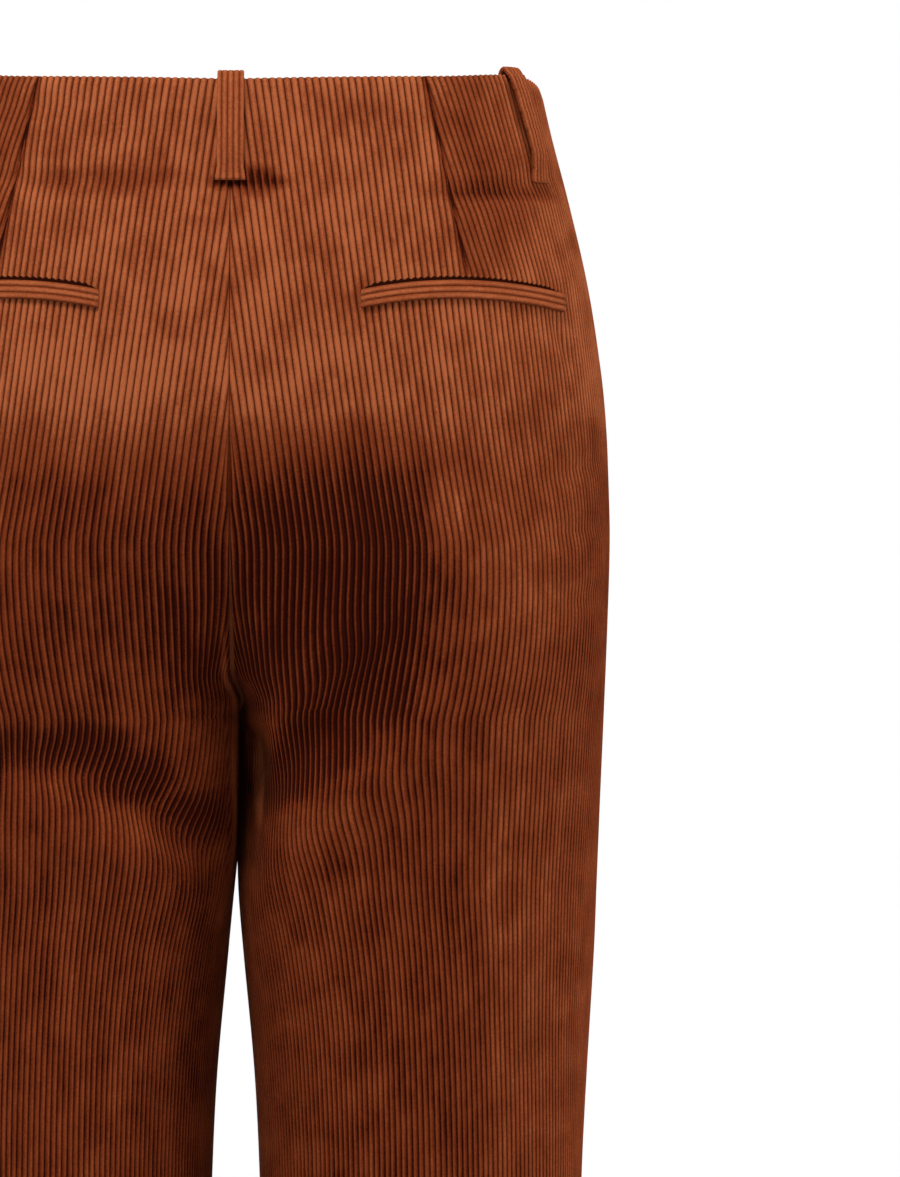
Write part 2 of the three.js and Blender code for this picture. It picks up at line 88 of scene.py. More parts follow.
BRUSHED = (0.55, 0.22, 1)  # the patterns' scales across and along the wales
STREAKS = (1.0, 0.05, 1)
PILE_RAISED = (0.75, 0.0007)  # strength and metres
WEAVE_RAISED = (0.4, 0.0002)
TUFTS = 900  # to the metre
FUZZ = 2600
WRONG_SIDE = ((0.3, (0.105, 0.022, 0.007)), (0.7, (0.165, 0.042, 0.014)))
WEAVE_SCALE = 0.9
WEAVE_UNEVEN = 0.6

# Camera
PHOTO_WIDE = 900
PHOTO_HIGH = 1177
MM_PER_PIXEL = 0.476
MIDDLE_PIXEL = 236  # the trousers' middle in the photo
TOP_PIXEL = 78  # the top edge at the centre back
TOP_EDGE_Y = 106  # that edge is so much nearer to the camera than the side seams
CAMERA_DISTANCE = 4500
SENSOR = 36

# Floor
FLOOR_RADIUS = 2600
FLOOR_BELOW = 35  # below the hems

# Light, in metres and watts
ROOM_LIGHT = 0.16
LIGHTS = (
    ("light_above", (0.5, 1.5, 2.3), (0, 0, -0.25), (1.2, 0.9), 75),
    ("light_left", (2.3, 0.5, 0.3), (0, 0, -0.4), (0.9, 1.8), 16),
    ("light_right", (-2.1, 0.5, 0.4), (0, 0, -0.4), (0.9, 1.8), 24),
    ("light_front", (0.7, -2.6, 0.9), (0, 0, -0.5), (1.8, 1.8), 62),
)

# The outline: heights, the side seam's and the inseam's distance from the middle, the depth
# behind and before the side seam, the side seam's place from front to back, and how square a
# section is between the legs.
SECTION_COLUMNS = ("z", "outer", "inner", "back", "front", "mid", "square")
SECTIONS = (
    (12, 142.8, 0, 103.5, 89.5, 0, 2.1),
    (-20, 149.9, 0, 112, 95.5, 0, 2.1),
    (-54, 158.5, 0, 121.5, 100.5, 0, 2.1),
    (-94, 167.5, 0, 131.5, 104.5, 0, 2.1),
    (-134, 173.7, 0, 138, 106.5, 0, 2.1),
    (-160, 176.2, 0, 139.5, 107, 0, 2.1),
    (-186, 177.3, 0, 137, 107, 0, 2.3),
    (-215, 177.9, 0, 131.5, 106, 0, 2.6),
    (-254, 176.8, 0, 121.5, 104, 0, 3.1),
    (-298, 175.0, 0.5, 111, 101, 0, 3.6),
    (-344, 173.0, 0.6, 103, 97, 0, 3.3),
    (-379, 171.6, 1.2, 98.5, 94, 0, 3.0),
    (-409, 170.4, 3.6, 95.5, 91, 0, 2.7),
    (-466, 167.0, 8.8, 91, 86, 1, 2.4),
    (-514, 164.6, 11.2, 87, 82, 1, 2.2),
    (-640, 160.8, 15.0, 80, 76, 3, 2.1),
    (-850, 157.6, 17.5, 75, 73, 6, 2.1),
    (-1060, 156.3, 18.5, 72.5, 71, 8, 2.1),
)

# The top edge round the waist: share, 0 at the side seam and 1 at the centre, and height
TOP_BACK = ((0, -2), (0.22, 4.5), (0.5, 2.5), (1, 0))
TOP_FRONT = ((0, -2), (0.5, -8), (1, -11))

# Folds: where each starts and ends, by its distance from the middle and its height, its half
# width, and how far it raises or sinks the cloth. The large folds come first, then the small.
FOLDS = {
    "back_right": (
        (9, -345, 88, -261, 18, -6.5),
        (24, -366, 96, -300, 20, 4.0),
        (94, -395, 89, -980, 20, 3.6),
        (112, -358, 70, -440, 18, -2.6),
        (30, -560, 48, -820, 22, -3.0),
        (140, -636, 75, -690, 24, -3.0),
        (15, -310, 49, -261, 9, 2.4),
        (176, -172, 148, -186, 5, -1.2),
        (176, -204, 150, -214, 5, -1.2),
        (176, -238, 156, -243, 4.5, -1.0),
        (96, -57, 154, -43, 5, -1.7),
        (60, -12, 84, -28, 6, -0.8),
        (150, -108, 158, -132, 5, -1.4),
    ),
    "back_left": (
        (17, -360, 70, -316, 18, -6.5),
        (70, -316, 128, -324, 18, -4.5),
        (26, -376, 96, -342, 20, 4.4),
        (93, -410, 88, -960, 20, 3.6),
        (28, -590, 46, -860, 22, -3.2),
        (142, -650, 78, -702, 24, -3.2),
        (20, -47, 124, -46, 6, -1.6),
        (18, -24, 66, -25, 5, -1.1),
        (15, -36, 56, -37, 4.5, -1.0),
        (2, -53, 24, -59, 2.3, -1.5),
        (5.5, -280, 5.5, -374, 1.5, -1.3),
        (60, -14, 112, -15, 5, -0.8),
        (120, -60, 160, -84, 6, -1.0),
        (176, -180, 150, -192, 5, -1.2),
        (176, -214, 152, -222, 5, -1.1),
    ),
    "front_right": (
        (8, -284, 92, -236, 18, 1.6),
        (12, -330, 100, -280, 20, -3.4),
        (90, -360, 88, -980, 24, 4.0),
        (150, -628, 86, -665, 24, -3.0),
        (150, -40, 60, -46, 6, -1.0),
        (176, -190, 140, -206, 6, -1.2),
        (10, -250, 60, -222, 9, 1.6),
    ),
    "front_left": (
        (8, -290, 90, -242, 18, 1.8),
        (12, -338, 102, -290, 20, -3.6),
        (90, -370, 88, -985, 24, 4.0),
        (148, -640, 84, -672, 24, -2.8),
        (148, -34, 64, -42, 6, -1.0),
        (176, -182, 142, -196, 6, -1.2),
        (10, -256, 58, -230, 9, 1.6),
    ),
}

# How the nap lies, with painted light and shade laid over it: 0 is dark, from the nap brushed down and
# from painted shade, and 1 is light, from the nap brushed up and from painted light.
# Each spot has its place, its half sizes across and down, and how far it draws the value towards its
# own.
NAP_LIT_TOP = 0.8
NAP_SHADED_LOW = 0.38
SHADE_FALL_Z = (-140, -192)  # painted light on the upper cloth and painted shade on the lower, with a ragged change between
SHADE_FALL_WAVES = ((12, 95), (6, 34))  # each wave's height and length
SPOT_EDGE = (0.55, 1.35)  # a spot fades between these shares of its size
SPOT_WAVES = ((0.13, 60),)
MOTTLE_WAVES = ((0.07, 34), (0.05, 13))
MOTTLE_LEAST = 0.6  # lighter nap is more mottled
NAP_SEEDS = {"back_left": 3, "back_right": 5, "front_left": 8, "front_right": 11}
NAP_AND_SHADE_SPOTS = {
    "back_right": (
        # Painted shade under the seat and in the folds' troughs, and painted light on the ridge below
        # them
        (46, -226, 46, 68, 0.07, 0.95),
        (72, -250, 20, 48, 0.04, 0.8),
        (22, -262, 20, 40, 0.1, 0.7),
        (62, -286, 22, 15, 0.03, 0.9),
        (42, -308, 20, 15, 0.03, 0.9),
        (22, -330, 16, 17, 0.05, 0.9),
        (46, -348, 30, 14, 0.52, 0.8),
        (102, -196, 9, 34, 0.66, 0.7),
        # Painted highlight on the right leg's inner edge, and painted shadow in the slit between the
        # legs
        (9.5, -328, 3.2, 22, 0.95, 0.8),
        (0.5, -322, 2.6, 50, 0.0, 1.0),
        (124, -46, 26, 52, 0.6, 0.65),
        # Painted shade along the crease beside the back loop's foot
        (124, -51, 30, 4, 0.2, 0.7),
        # Painted light on the outer side of the hip and leg
        (140, -205, 30, 80, 0.64, 0.8),
        (140, -420, 34, 150, 0.6, 0.8),
        (140, -620, 40, 90, 0.58, 0.7),
        (52, -100, 20, 14, 0.6, 0.5),
        (66, -24, 22, 12, 0.66, 0.6),
        (34, -150, 30, 16, 0.92, 0.6),
        # Painted shadow under the foot of the centre back loop
        (12, -48.5, 15, 5, 0.0, 0.85),
        # Painted shade on the leg's inner half
        (108, -480, 14, 120, 0.3, 0.5),
        (40, -440, 22, 70, 0.46, 0.5),
    ),
    "back_left": (
        # Painted shade under the seat and in the folds' troughs, and painted light on the ridge below
        # them
        (52, -232, 52, 52, 0.33, 0.85),
        (18, -246, 20, 44, 0.16, 0.8),
        (95, -312, 26, 10, 0.08, 0.8),
        (66, -310, 20, 12, 0.05, 0.85),
        (46, -326, 18, 13, 0.05, 0.85),
        (22, -345, 18, 12, 0.07, 0.85),
        (56, -350, 34, 14, 0.46, 0.8),
        (70, -140, 46, 26, 0.95, 0.7),
        # Painted shade along the creases below the top edge
        (58, -47, 48, 7, 0.42, 0.7),
        (14, -56.5, 9, 1.4, 0.1, 0.7),
        # Painted highlight on the left leg's inner edge, and painted shadow between the legs
        (3.6, -312, 1.6, 56, 0.8, 0.7),
        (0.5, -322, 2.2, 50, 0.0, 1.0),
        (124, -46, 26, 52, 0.6, 0.65),
        (84, -22, 20, 14, 0.7, 0.5),
        # Painted light on the outer side of the hip and leg
        (140, -225, 30, 90, 0.6, 0.8),
        (140, -520, 26, 180, 0.55, 0.7),
        # Painted shade along the leg's inner fold and on its inner half
        (20, -430, 12, 80, 0.28, 0.6),
        (70, -470, 30, 60, 0.44, 0.5),
        # Painted shadow under the foot of the centre back loop
        (4, -48, 7, 4.5, 0.0, 0.7),
    ),
    "front_right": (
        (60, -230, 60, 50, 0.3, 0.7),
        (30, -270, 26, 30, 0.1, 0.7),
        (120, -160, 40, 60, 0.75, 0.6),
        (90, -520, 30, 200, 0.5, 0.6),
        (40, -560, 20, 120, 0.28, 0.5),
    ),
    "front_left": (
        (62, -225, 56, 54, 0.3, 0.7),
        (30, -270, 26, 30, 0.1, 0.7),
        (118, -150, 44, 60, 0.75, 0.6),
        (88, -540, 30, 200, 0.5, 0.6),
        (40, -600, 20, 120, 0.28, 0.5),
    ),
}

# Where the wales are drawn aside as they cross a fold: its two ends, half width, and how far
DRIFTS = {
    "back_right": (
        (6, -314, 68, -258, 13, -3.5),
        (24, -366, 92, -314, 15, 3.0),
    ),
    "back_left": (
        (46, -332, 92, -318, 12, -4.0),
        (10, -364, 48, -332, 13, -4.5),
    ),
    "front_right": (
        (10, -300, 80, -262, 13, 3.0),
        (14, -336, 84, -306, 13, -3.0),
    ),
    "front_left": (
        (10, -304, 80, -266, 13, -3.0),
        (14, -340, 84, -310, 13, 3.0),
    ),
}

# Dart and seams
DART_TOP_X = 90.6
DART_END_X = 110
DART_END_Z = -92
DART_INTAKE = 22  # cloth taken up at the top edge
# A thin line of painted shade along the dart's seam
DART_LINE = 1.0
DART_LINE_DARK = 0.9
DART_SHADE = 0.16  # painted shade on the cloth beyond the dart, which turns away from the light above
DART_SHADE_FADE = 24
DART_SHADE_WIDTHS = (14, 40)  # whole to the first width, gone at the second
DART_MERGE = 0.6  # columns this near to the dart lie in its seam
DART_NARROW = 1.3  # the dart's seam is so much narrower than the others
CENTRE_SLANT = 0.14  # how far the wales lean to the centre back seam
SEAM_DIP = 1.1
EDGE_SCALLOP = 0.8  # the top edge and the hem dip this much at each groove
EDGE_LOWERED = 0.5  # and their cloth lies so much lower
SEAM_ROLL = 2.4  # the cloth rolls into a seam over this width

# The open seam of the hip pockets
MOUTH_TOP_Z = -64
MOUTH_END_Z = -200
MOUTH_GAP = 1.3
MOUTH_FADE = 8
SEAM_GAP = 0.3
FACING_WIDTH = 26
FACING_THICK = 1.4
FACING_OVERLAP = 8
FACING_CLEAR = 0.7
FACING_RELIEF = 0.5

# Welts of the back pockets
WELT_X0 = 155
WELT_X1 = 60.5
WELT_TOP_Z = -94
WELT_ARCH = 5
WELT_HEIGHT = 8.6
WELT_THICK = 1.7
WELT_WALES = 3
WELT_RELIEF = 0.55
WELT_ROUNDED = 0.7
WELT_END = 0.02  # its two ends sink over this share of its length
WELT_END_SUNK = 0.5

# The pocket's mouth above the welt: a dark sheet of painted shadow
MOUTH_DARK = 1.9
MOUTH_JAG = 0.35
MOUTH_TAPER = 14
MOUTH_TUCK = 1.2
MOUTH_SUNK = 0.6
MOUTH_LIFTS = (0.35, 0.3, 0.12)  # how far it stands off the cloth below, midway and above

# Belt loops: on the front or back, the side, and the distance from the middle above and below
LOOP_WIDTH = 12.4
LOOP_THICK = 2.0
LOOP_ABOVE = 3.8
LOOP_LENGTH = 52
LOOP_DROP = LOOP_LENGTH - LOOP_ABOVE
LOOP_BOW = 1.9
LOOP_INSIDE = 9
LOOP_FLARE = 0.14  # the stitched foot is so much wider
LOOP_FLARE_HIGH = 7
LOOPS = {
    "belt_loop_centre_back": (BACK, 1, 0, 0),
    "belt_loop_back_left": (BACK, 1, 131, 145),
    "belt_loop_back_right": (BACK, -1, 131, 145),
    "belt_loop_front_left": (FRONT, 1, 92, 102),
    "belt_loop_front_right": (FRONT, -1, 92, 102),
}
STRIP_NAP = 0.76  # how the nap lies on the loops and welts
# A loop's ridges: places across its half width and heights, from the middle outwards
LOOP_RIDGES = (
    (0.0, 1.0), (0.09, 1.0), (0.17, 0.9), (0.235, 0.35), (0.30, 0.9), (0.38, 1.0), (0.50, 1.0),
    (0.60, 0.86), (0.655, 0.2), (0.71, 0.8), (0.80, 0.95), (0.90, 0.75), (0.97, 0.35), (1.0, -0.4),
)
LOOP_RELIEF = 0.6
LOOP_WALES = 4.6

# Fly and button
FLY_WIDTH = 36
FLY_TIP = 3
FLY_TOP_Z = -1
FLY_END_Z = -182
FLY_CORNER = 34
FLY_INSET = 0.4
FLY_THICK = 1.6
FLY_THIN_EDGE = 0.5
FLY_RELIEF = 0.75
FLY_EDGE = 0.03  # the lap's long edges sink over this share of its width
FLY_EDGES_SUNK = (0.35, 0.5)
FLY_NAP = 0.7
BUTTON_RADIUS = 8.5
BUTTON_THICK = 3.2
BUTTON_Z = -17
BUTTON_FROM_CENTRE = 10
BUTTON_LIFT = 0.55  # its foot is so far off the fly's lap
BUTTON_SPREAD = 1.7
BUTTON_HOLE = 0.95
BUTTON_DISH = 1.15  # the holes lie so far below the rim's top
# From the foot over the rim to the middle: in from the rim, and down from its top
BUTTON_OUTLINE = (
    (0.9, 3.2), (0.25, 2.95), (0.0, 2.25), (0.1, 0.75), (0.5, 0.15),
    (1.1, 0.0), (1.7, 0.25), (2.3, 0.8), (4.2, 1.0), (BUTTON_RADIUS, 1.05),
)
BUTTON_THREADS = (-0.3, 0.0, 0.3)  # three side by side through each pair of holes
BUTTON_THREAD = 0.24
BUTTON_STITCH = 4.1

# Between the legs, which touch below the crotch: how far they lean to one side, behind and before
LEAN = 4.6
LEAN_REACH = 16
LEAN_START_Z = -276
LEAN_END_Z = -406
LEAN_GROWS = 16
LEAN_FADES = 60
LEAN_DEPTHS = (5, 55)  # no lean nearer to the middle than the first, all of it past the second

# The slit between the legs, where the right one draws back
SLIT_Z = -317
SLIT_HALF = 26
SLIT_WIDE = 10
SLIT_REACH = 12
SLIT_DEPTHS = (12, 60)

# On the legs the wales lie closer together, from their centre line
LEG_PITCH = 0.76
LEG_PITCH_Z = (-225, -460)
LEG_CENTRE = 0.45

# Sewing thread
THREAD = 0.26
THREAD_PROUD = 0.3  # this share of its thickness stands off the cloth
STITCH = 2.6
STITCH_GAP = 0.7
HEM_STITCH_UP = 28
HEM_STITCH_LIFT = 0.05
HEM_STITCH_SINK = 0.6  # how far the stitches follow the wales down into the grooves
WELT_STITCH_SUNK = 0.15
WELT_STITCH_BELOW = 0.5
WELT_BARS = (0.012, 0.988, 0.06, 0.94)  # places along the welt of the short rows across it
FLY_STITCH_INSETS = (2.2, 8.0)

# Height of the rows of the panels' grids: the last height of each stretch, and the step
ROW_STEPS = ((SEAT_Z, 4.4), (-322, 4.2), (-600, 6.0), (HEM_Z, 9.5))
CROWDING = 2.4  # how closely they follow each other just above the crotch
INNER_COLUMNS = 56


def smooth_curve(xs, ys, at):
    """A smooth curve through the points of a table, read at many places."""
    if xs[0] > xs[-1]:
        xs, ys = xs[::-1], ys[::-1]
    at = np.clip(at, xs[0], xs[-1])
    slopes = np.empty_like(ys)
    slopes[1:-1] = (ys[2:] - ys[:-2]) / (xs[2:] - xs[:-2])
    slopes[0] = (ys[1] - ys[0]) / (xs[1] - xs[0])
    slopes[-1] = (ys[-1] - ys[-2]) / (xs[-1] - xs[-2])
    i = np.clip(np.searchsorted(xs, at, side="right") - 1, 0, len(xs) - 2)
    step = xs[i + 1] - xs[i]
    t = (at - xs[i]) / step
    rise = (2 * t**3 - 3 * t**2 + 1) * ys[i] + (3 * t**2 - 2 * t**3) * ys[i + 1]
    return rise + step * ((t**3 - 2 * t**2 + t) * slopes[i] + (t**3 - t**2) * slopes[i + 1])


def smoothstep(x, low, high):
    t = np.clip((x - low) / (high - low), 0, 1)
    return t * t * (3 - 2 * t)


def between(z, top, end, fade_in, fade_out):
    """1 from one height down to another: it fades in below the first and out above the second."""
    return smoothstep(top - z, 0, fade_in) * (1 - smoothstep(end - z, -fade_out, 0))


def run_along(*axes):
    """How far along a line each of its points lies."""
    return np.concatenate(([0], np.cumsum(np.linalg.norm(np.diff(axes, axis=1), axis=0))))


def ragged(x, z, size, seed):
    """Soft uneven waves over the cloth, about 0 on the whole and from -1 to 1."""
    draw = np.random.default_rng(seed)
    total = np.zeros_like(x, float)
    for turn in np.linspace(0, math.pi, 9)[:-1]:
        way = turn + draw.uniform(-0.2, 0.2)
        pace = draw.uniform(0.7, 1.5) * 2 * math.pi / size
        bend = 0.8 * np.sin((x * math.sin(way) - z * math.cos(way)) * pace * 0.45 + draw.uniform(0, 6))
        total += np.sin((x * math.cos(way) + z * math.sin(way)) * pace + bend + draw.uniform(0, 6))
    return np.clip(total / 4.2, -1, 1)


def dart_x(z):
    """The dart's distance from the middle, at one height."""
    return DART_TOP_X + (DART_END_X - DART_TOP_X) * z / DART_END_Z


def waves(x, z, sizes, seed):
    """Soft waves of several heights and lengths, one upon the other."""
    return sum(high * ragged(x, z, long, seed + 20 * i) for i, (high, long) in enumerate(sizes))


def nap_and_shade_at(panel, x, z):
    """How the nap lies at places of a panel, with painted light on the upper cloth and painted shade
    under the seat, in the folds' troughs, beyond the dart and between the legs.
    """
    seed = NAP_SEEDS[panel]
    x = np.abs(x)
    edge = z + waves(x, z, SHADE_FALL_WAVES, seed)
    fall = smoothstep(edge, SHADE_FALL_Z[1], SHADE_FALL_Z[0])
    nap_and_shade = NAP_SHADED_LOW + (NAP_LIT_TOP - NAP_SHADED_LOW) * fall
    bent = waves(x, z, SPOT_WAVES, seed + 40)
    for spot_x, spot_z, wide, high, value, pull in NAP_AND_SHADE_SPOTS[panel]:
        far = np.hypot((x - spot_x) / wide, (z - spot_z) / high) + bent
        weight = pull * (1 - smoothstep(far, *SPOT_EDGE))
        nap_and_shade = nap_and_shade + (value - nap_and_shade) * weight
    # Painted shade on the cloth beyond the dart, and a thin line of painted shade along its seam
    if panel.startswith("back"):
        past = x - dart_x(z)
        beside = (1 - smoothstep(DART_END_Z - z, -DART_SHADE_FADE, 0)) * (past > 0)
        nap_and_shade = nap_and_shade - DART_SHADE * beside * (1 - smoothstep(past, *DART_SHADE_WIDTHS))
        line = np.exp(-((past / DART_LINE) ** 2)) * (z > DART_END_Z)
        nap_and_shade = nap_and_shade * (1 - DART_LINE_DARK * line)
    mottle = waves(x, z, MOTTLE_WAVES, seed + 60)
    return np.clip(nap_and_shade + mottle * (MOTTLE_LEAST + nap_and_shade), 0, 1)


class Half:
    """The outside of one half of the back or the front, on the wearer's left."""

    STEP_DOWN = 2.0
    HEIGHTS = np.arange(14.0, -1062.0, -STEP_DOWN)
    SHARES = np.linspace(0, 1, 257)
    TURN_STEPS = 420

    def __init__(self, front):
        zs = self.HEIGHTS
        heights, *columns = np.array(SECTIONS, float).T
        value = {}
        for name, sizes in zip(SECTION_COLUMNS[1:], columns):
            value[name] = smooth_curve(heights, sizes, zs)
        power = FRONT_POWER if front else BACK_POWER
        start = BELLY_Z if front else SEAT_Z
        off_centre = smoothstep(start - zs, 0, start - CROTCH_Z)
        inner = np.maximum(value["inner"], 0)
        half = (value["outer"] - inner) / (1 + off_centre)
        inner_power = np.maximum(value["square"], power)
        last_turn = np.arccos(-(off_centre ** (inner_power / 2)))
        depth = value["front"] if front else value["back"]
        points = np.empty((len(zs), len(self.SHARES), 3))
        self.lengths = np.empty(len(zs))
        for row in range(len(zs)):
            turn = np.linspace(0, last_turn[row], self.TURN_STEPS)
            across = np.cos(turn)
            bend = 2 / np.where(across > 0, power, inner_power[row])
            deep = depth[row] * np.maximum(np.sin(turn), 0) ** bend
            x = value["outer"][row] - half[row]
            x = x + half[row] * np.sign(across) * np.abs(across) ** bend
            y = value["mid"][row] + (-deep if front else deep)
            run = run_along(x, y)
            self.lengths[row] = run[-1]
            even = self.SHARES * run[-1]
            points[row, :, 0] = np.interp(even, run, x)
            points[row, :, 1] = np.interp(even, run, y)
        top = TOP_FRONT if front else TOP_BACK
        rise = smooth_curve(*np.array(top, float).T, self.SHARES)
        fade = 1 - smoothstep(-zs, 0, TOP_FADE)
        points[:, :, 2] = zs[:, None] + rise[None, :] * fade[:, None]
        down = np.gradient(points, axis=0)
        along = np.gradient(points, axis=1)
        normals = np.cross(down, along) * (-1 if front else 1)
        size = np.linalg.norm(normals, axis=2, keepdims=True)
        self.points = points
        self.normals = normals / np.maximum(size, 1e-9)

    def length(self, z):
        return np.interp(-z, -self.HEIGHTS, self.lengths)

    def share_at(self, x, z):
        """The share at which the section of one height lies at a distance from the middle."""
        row = self.points[int(round((self.HEIGHTS[0] - z) / self.STEP_DOWN)), :, 0]
        return float(np.interp(-x, -row, self.SHARES))

    def shares_at(self, xs, zs):
        return np.array([self.share_at(x, z) for x, z in np.broadcast(xs, zs)])

    def read(self, table, share, z):
        """Reads a table of places between its rows and columns."""
        r = np.clip((self.HEIGHTS[0] - z) / self.STEP_DOWN, 0, len(self.HEIGHTS) - 1.001)
        c = np.clip(share, 0, 1) * (len(self.SHARES) - 1)
        c = np.minimum(c, len(self.SHARES) - 1.001)
        i, j = r.astype(int), c.astype(int)
        fr, fc = (r - i)[..., None], (c - j)[..., None]
        upper = table[i, j] * (1 - fc) + table[i, j + 1] * fc
        lower = table[i + 1, j] * (1 - fc) + table[i + 1, j + 1] * fc
        return upper * (1 - fr) + lower * fr


HALVES = {BACK: Half(BACK), FRONT: Half(FRONT)}


def sided(stem, side):
    """The name of a piece on the wearer's left or right."""
    return stem + ("_left" if side > 0 else "_right")


def panel_name(front, side):
    return sided("front" if front else "back", side)


def across_folds(table, front, side, share, z):
    """The sum of a panel's folds at places of it, fading out at each fold's ends and at the seams."""
    half = HALVES[front]
    s = share * half.length(z)
    total = np.zeros_like(s)
    for x0, z0, x1, z1, width, amount in table[panel_name(front, side)]:
        s0 = half.share_at(x0, z0) * half.length(z0)
        s1 = half.share_at(x1, z1) * half.length(z1)
        t = ((s - s0) * (s1 - s0) + (z - z0) * (z1 - z0)) / ((s1 - s0) ** 2 + (z1 - z0) ** 2)
        t = np.clip(t, 0, 1)
        off = np.hypot(s - s0 - t * (s1 - s0), z - z0 - t * (z1 - z0))
        ends = np.sin(math.pi * (FOLD_END + (1 - 2 * FOLD_END) * t))
        total += amount * ends * np.exp(-((off / width) ** 2))
    return total * smoothstep(share, 0, SEAM_FADE) * (1 - smoothstep(share, 1 - CENTRE_FADE, 1))


def between_legs(point):
    """How far the touching legs lean past the middle."""
    near = np.exp(-((point[..., 0] / LEAN_REACH) ** 2))
    low = between(point[..., 2], LEAN_START_Z, LEAN_END_Z, LEAN_GROWS, LEAN_FADES)
    return -LEAN * near * low * smoothstep(np.abs(point[..., 1]), *LEAN_DEPTHS)


def slit(point):
    """How far the right leg draws back from the left one, behind and below the crotch."""
    near = np.exp(-((point[..., 0] / SLIT_REACH) ** 2))
    here = np.exp(-(((point[..., 2] - SLIT_Z) / SLIT_HALF) ** 2))
    below = smoothstep(CROTCH_Z - point[..., 2], -3, 9)
    return SLIT_WIDE * near * here * below * smoothstep(point[..., 1], *SLIT_DEPTHS)


def on_cloth(front, side, share, z, lift=0.0):
    """Places on the outside of one panel, moved out by lift, and the way the cloth faces there."""
    share, z = np.broadcast_arrays(np.asarray(share, float), np.asarray(z, float))
    half = HALVES[front]
    share = share + across_folds(DRIFTS, front, side, share, z) / half.length(z)
    normal = half.read(half.normals, share, z)
    normal = normal / np.linalg.norm(normal, axis=-1, keepdims=True)
    moved = across_folds(FOLDS, front, side, share, z) + lift
    point = half.read(half.points, share, z) + normal * moved[..., None]
    turn = np.array([side, 1, 1])
    point = point * turn
    if side < 0 and not front:
        point[..., 0] -= slit(point)
    point[..., 0] += between_legs(point)
    return point, normal * turn


DART_HEIGHTS = np.linspace(0, DART_END_Z, 24)
DART_SHARES = HALVES[BACK].shares_at(dart_x(DART_HEIGHTS), DART_HEIGHTS)


def dart_share(z):
    return np.interp(-z, -DART_HEIGHTS, DART_SHARES)


def wale_place(front, share, z):
    """The cloth's own coordinate across the wales, from the side seam, in millimetres."""
    half = HALVES[front]
    length = half.length(z)
    at_crotch = half.length(float(CROTCH_Z))
    place = share * length + (at_crotch - half.length(np.minimum(z, CROTCH_Z))) / 2
    if front:
        place = place + half.length(float(BELLY_Z)) - half.length(np.maximum(z, BELLY_Z))
    else:
        above = np.maximum(z, HIP_Z)
        intake = DART_INTAKE * np.clip(1 - z / DART_END_Z, 0, 1)
        narrower = half.length(float(HIP_Z)) - half.length(above)
        from_side = narrower - CENTRE_SLANT * (above - HIP_Z) - intake
        place = place + from_side + (share > dart_share(z)) * intake
    centre = LEG_CENTRE * at_crotch
    closer = 1 - (1 - LEG_PITCH) * smoothstep(-z, -LEG_PITCH_Z[0], -LEG_PITCH_Z[1])
    return centre + (place - centre) / closer


def row_heights(front):
    """Heights of a panel's rows at its side seam and at its centre seam."""
    start = BELLY_Z if front else SEAT_Z
    stops = [0.0]
    for last, step in ROW_STEPS:
        last = start if last == SEAT_Z else last
        count = max(1, round((stops[-1] - last) / step))
        stops.extend(np.linspace(stops[-1], last, count + 1)[1:])
    side = np.array(stops)
    leg_top = ROW_STEPS[1][0]
    t = np.clip((start - side) / (start - leg_top), 0, 1)
    crowded = (1 - (1 - t) ** CROWDING) ** (1 / CROWDING)
    bent = start + (CROTCH_Z - start) * (0.1 * t + 0.9 * crowded)
    low = np.clip((leg_top - side) / (leg_top - HEM_Z), 0, 1)
    below = CROTCH_Z + (HEM_Z - CROTCH_Z) * low
    centre = np.where(side > start, side, np.where(side > leg_top, bent, below))
    return side, centre


def wale_height(place):
    """How high the pile stands at a place across the wales, from 0 in a groove to 1."""
    share = np.mod(place / WALE, 1)
    xs = [p for p, _ in WALE_PROFILE] + [1.0]
    ys = [h for _, h in WALE_PROFILE] + [0.0]
    return np.interp(share, xs, ys)


def new_mesh(name, bm):
    """Turns a bmesh into a mesh; only faces with more than four corners stay flat."""
    for face in bm.faces:
        face.smooth = len(face.verts) < 5
    mesh = bpy.data.meshes.new(name)
    bm.to_mesh(mesh)
    bm.free()
    return mesh


def in_scene(name, data):
    """A new object at the origin, which holds the data."""
    made = bpy.data.objects.new(name, data)
    bpy.context.scene.collection.objects.link(made)
    return made


def place_grid(name, points, uv, nap_and_shade, outside=None):
    """A new grid of quads with its vertices set out row by row.

    Beyond the outside's columns the cloth shows its wrong side.
    """
    rows, columns = points.shape[:2]
    bm = bmesh.new()
    bmesh.ops.create_grid(bm, x_segments=columns - 1, y_segments=rows - 1, size=1)
    mesh = new_mesh(name, bm)
    flat = np.empty(len(mesh.vertices) * 3)
    mesh.vertices.foreach_get("co", flat)
    flat = flat.reshape(-1, 3)
    at_column = np.rint((flat[:, 0] + 1) / 2 * (columns - 1)).astype(int)
    at_row = np.rint((flat[:, 1] + 1) / 2 * (rows - 1)).astype(int)
    mesh.vertices.foreach_set("co", (points[at_row, at_column] * MM).ravel())
    corners = np.empty(len(mesh.loops), int)
    mesh.loops.foreach_get("vertex_index", corners)
    layer = mesh.uv_layers.new(name="Wales")
    layer.data.foreach_set("uv", uv[at_row[corners], at_column[corners]].ravel())
    if outside is not None:
        first = at_column[corners].reshape(-1, 4).min(axis=1)
        mesh.polygons.foreach_set("material_index", (first >= outside - 1).astype(np.int32))
    # Each vertex's nap tone, with painted light and shade laid over it
    lie_and_shade = mesh.attributes.new("NapAndShade", "FLOAT", "POINT")
    lie_and_shade.data.foreach_set("value", nap_and_shade[at_row, at_column].ravel().astype(np.float32))
    return mesh


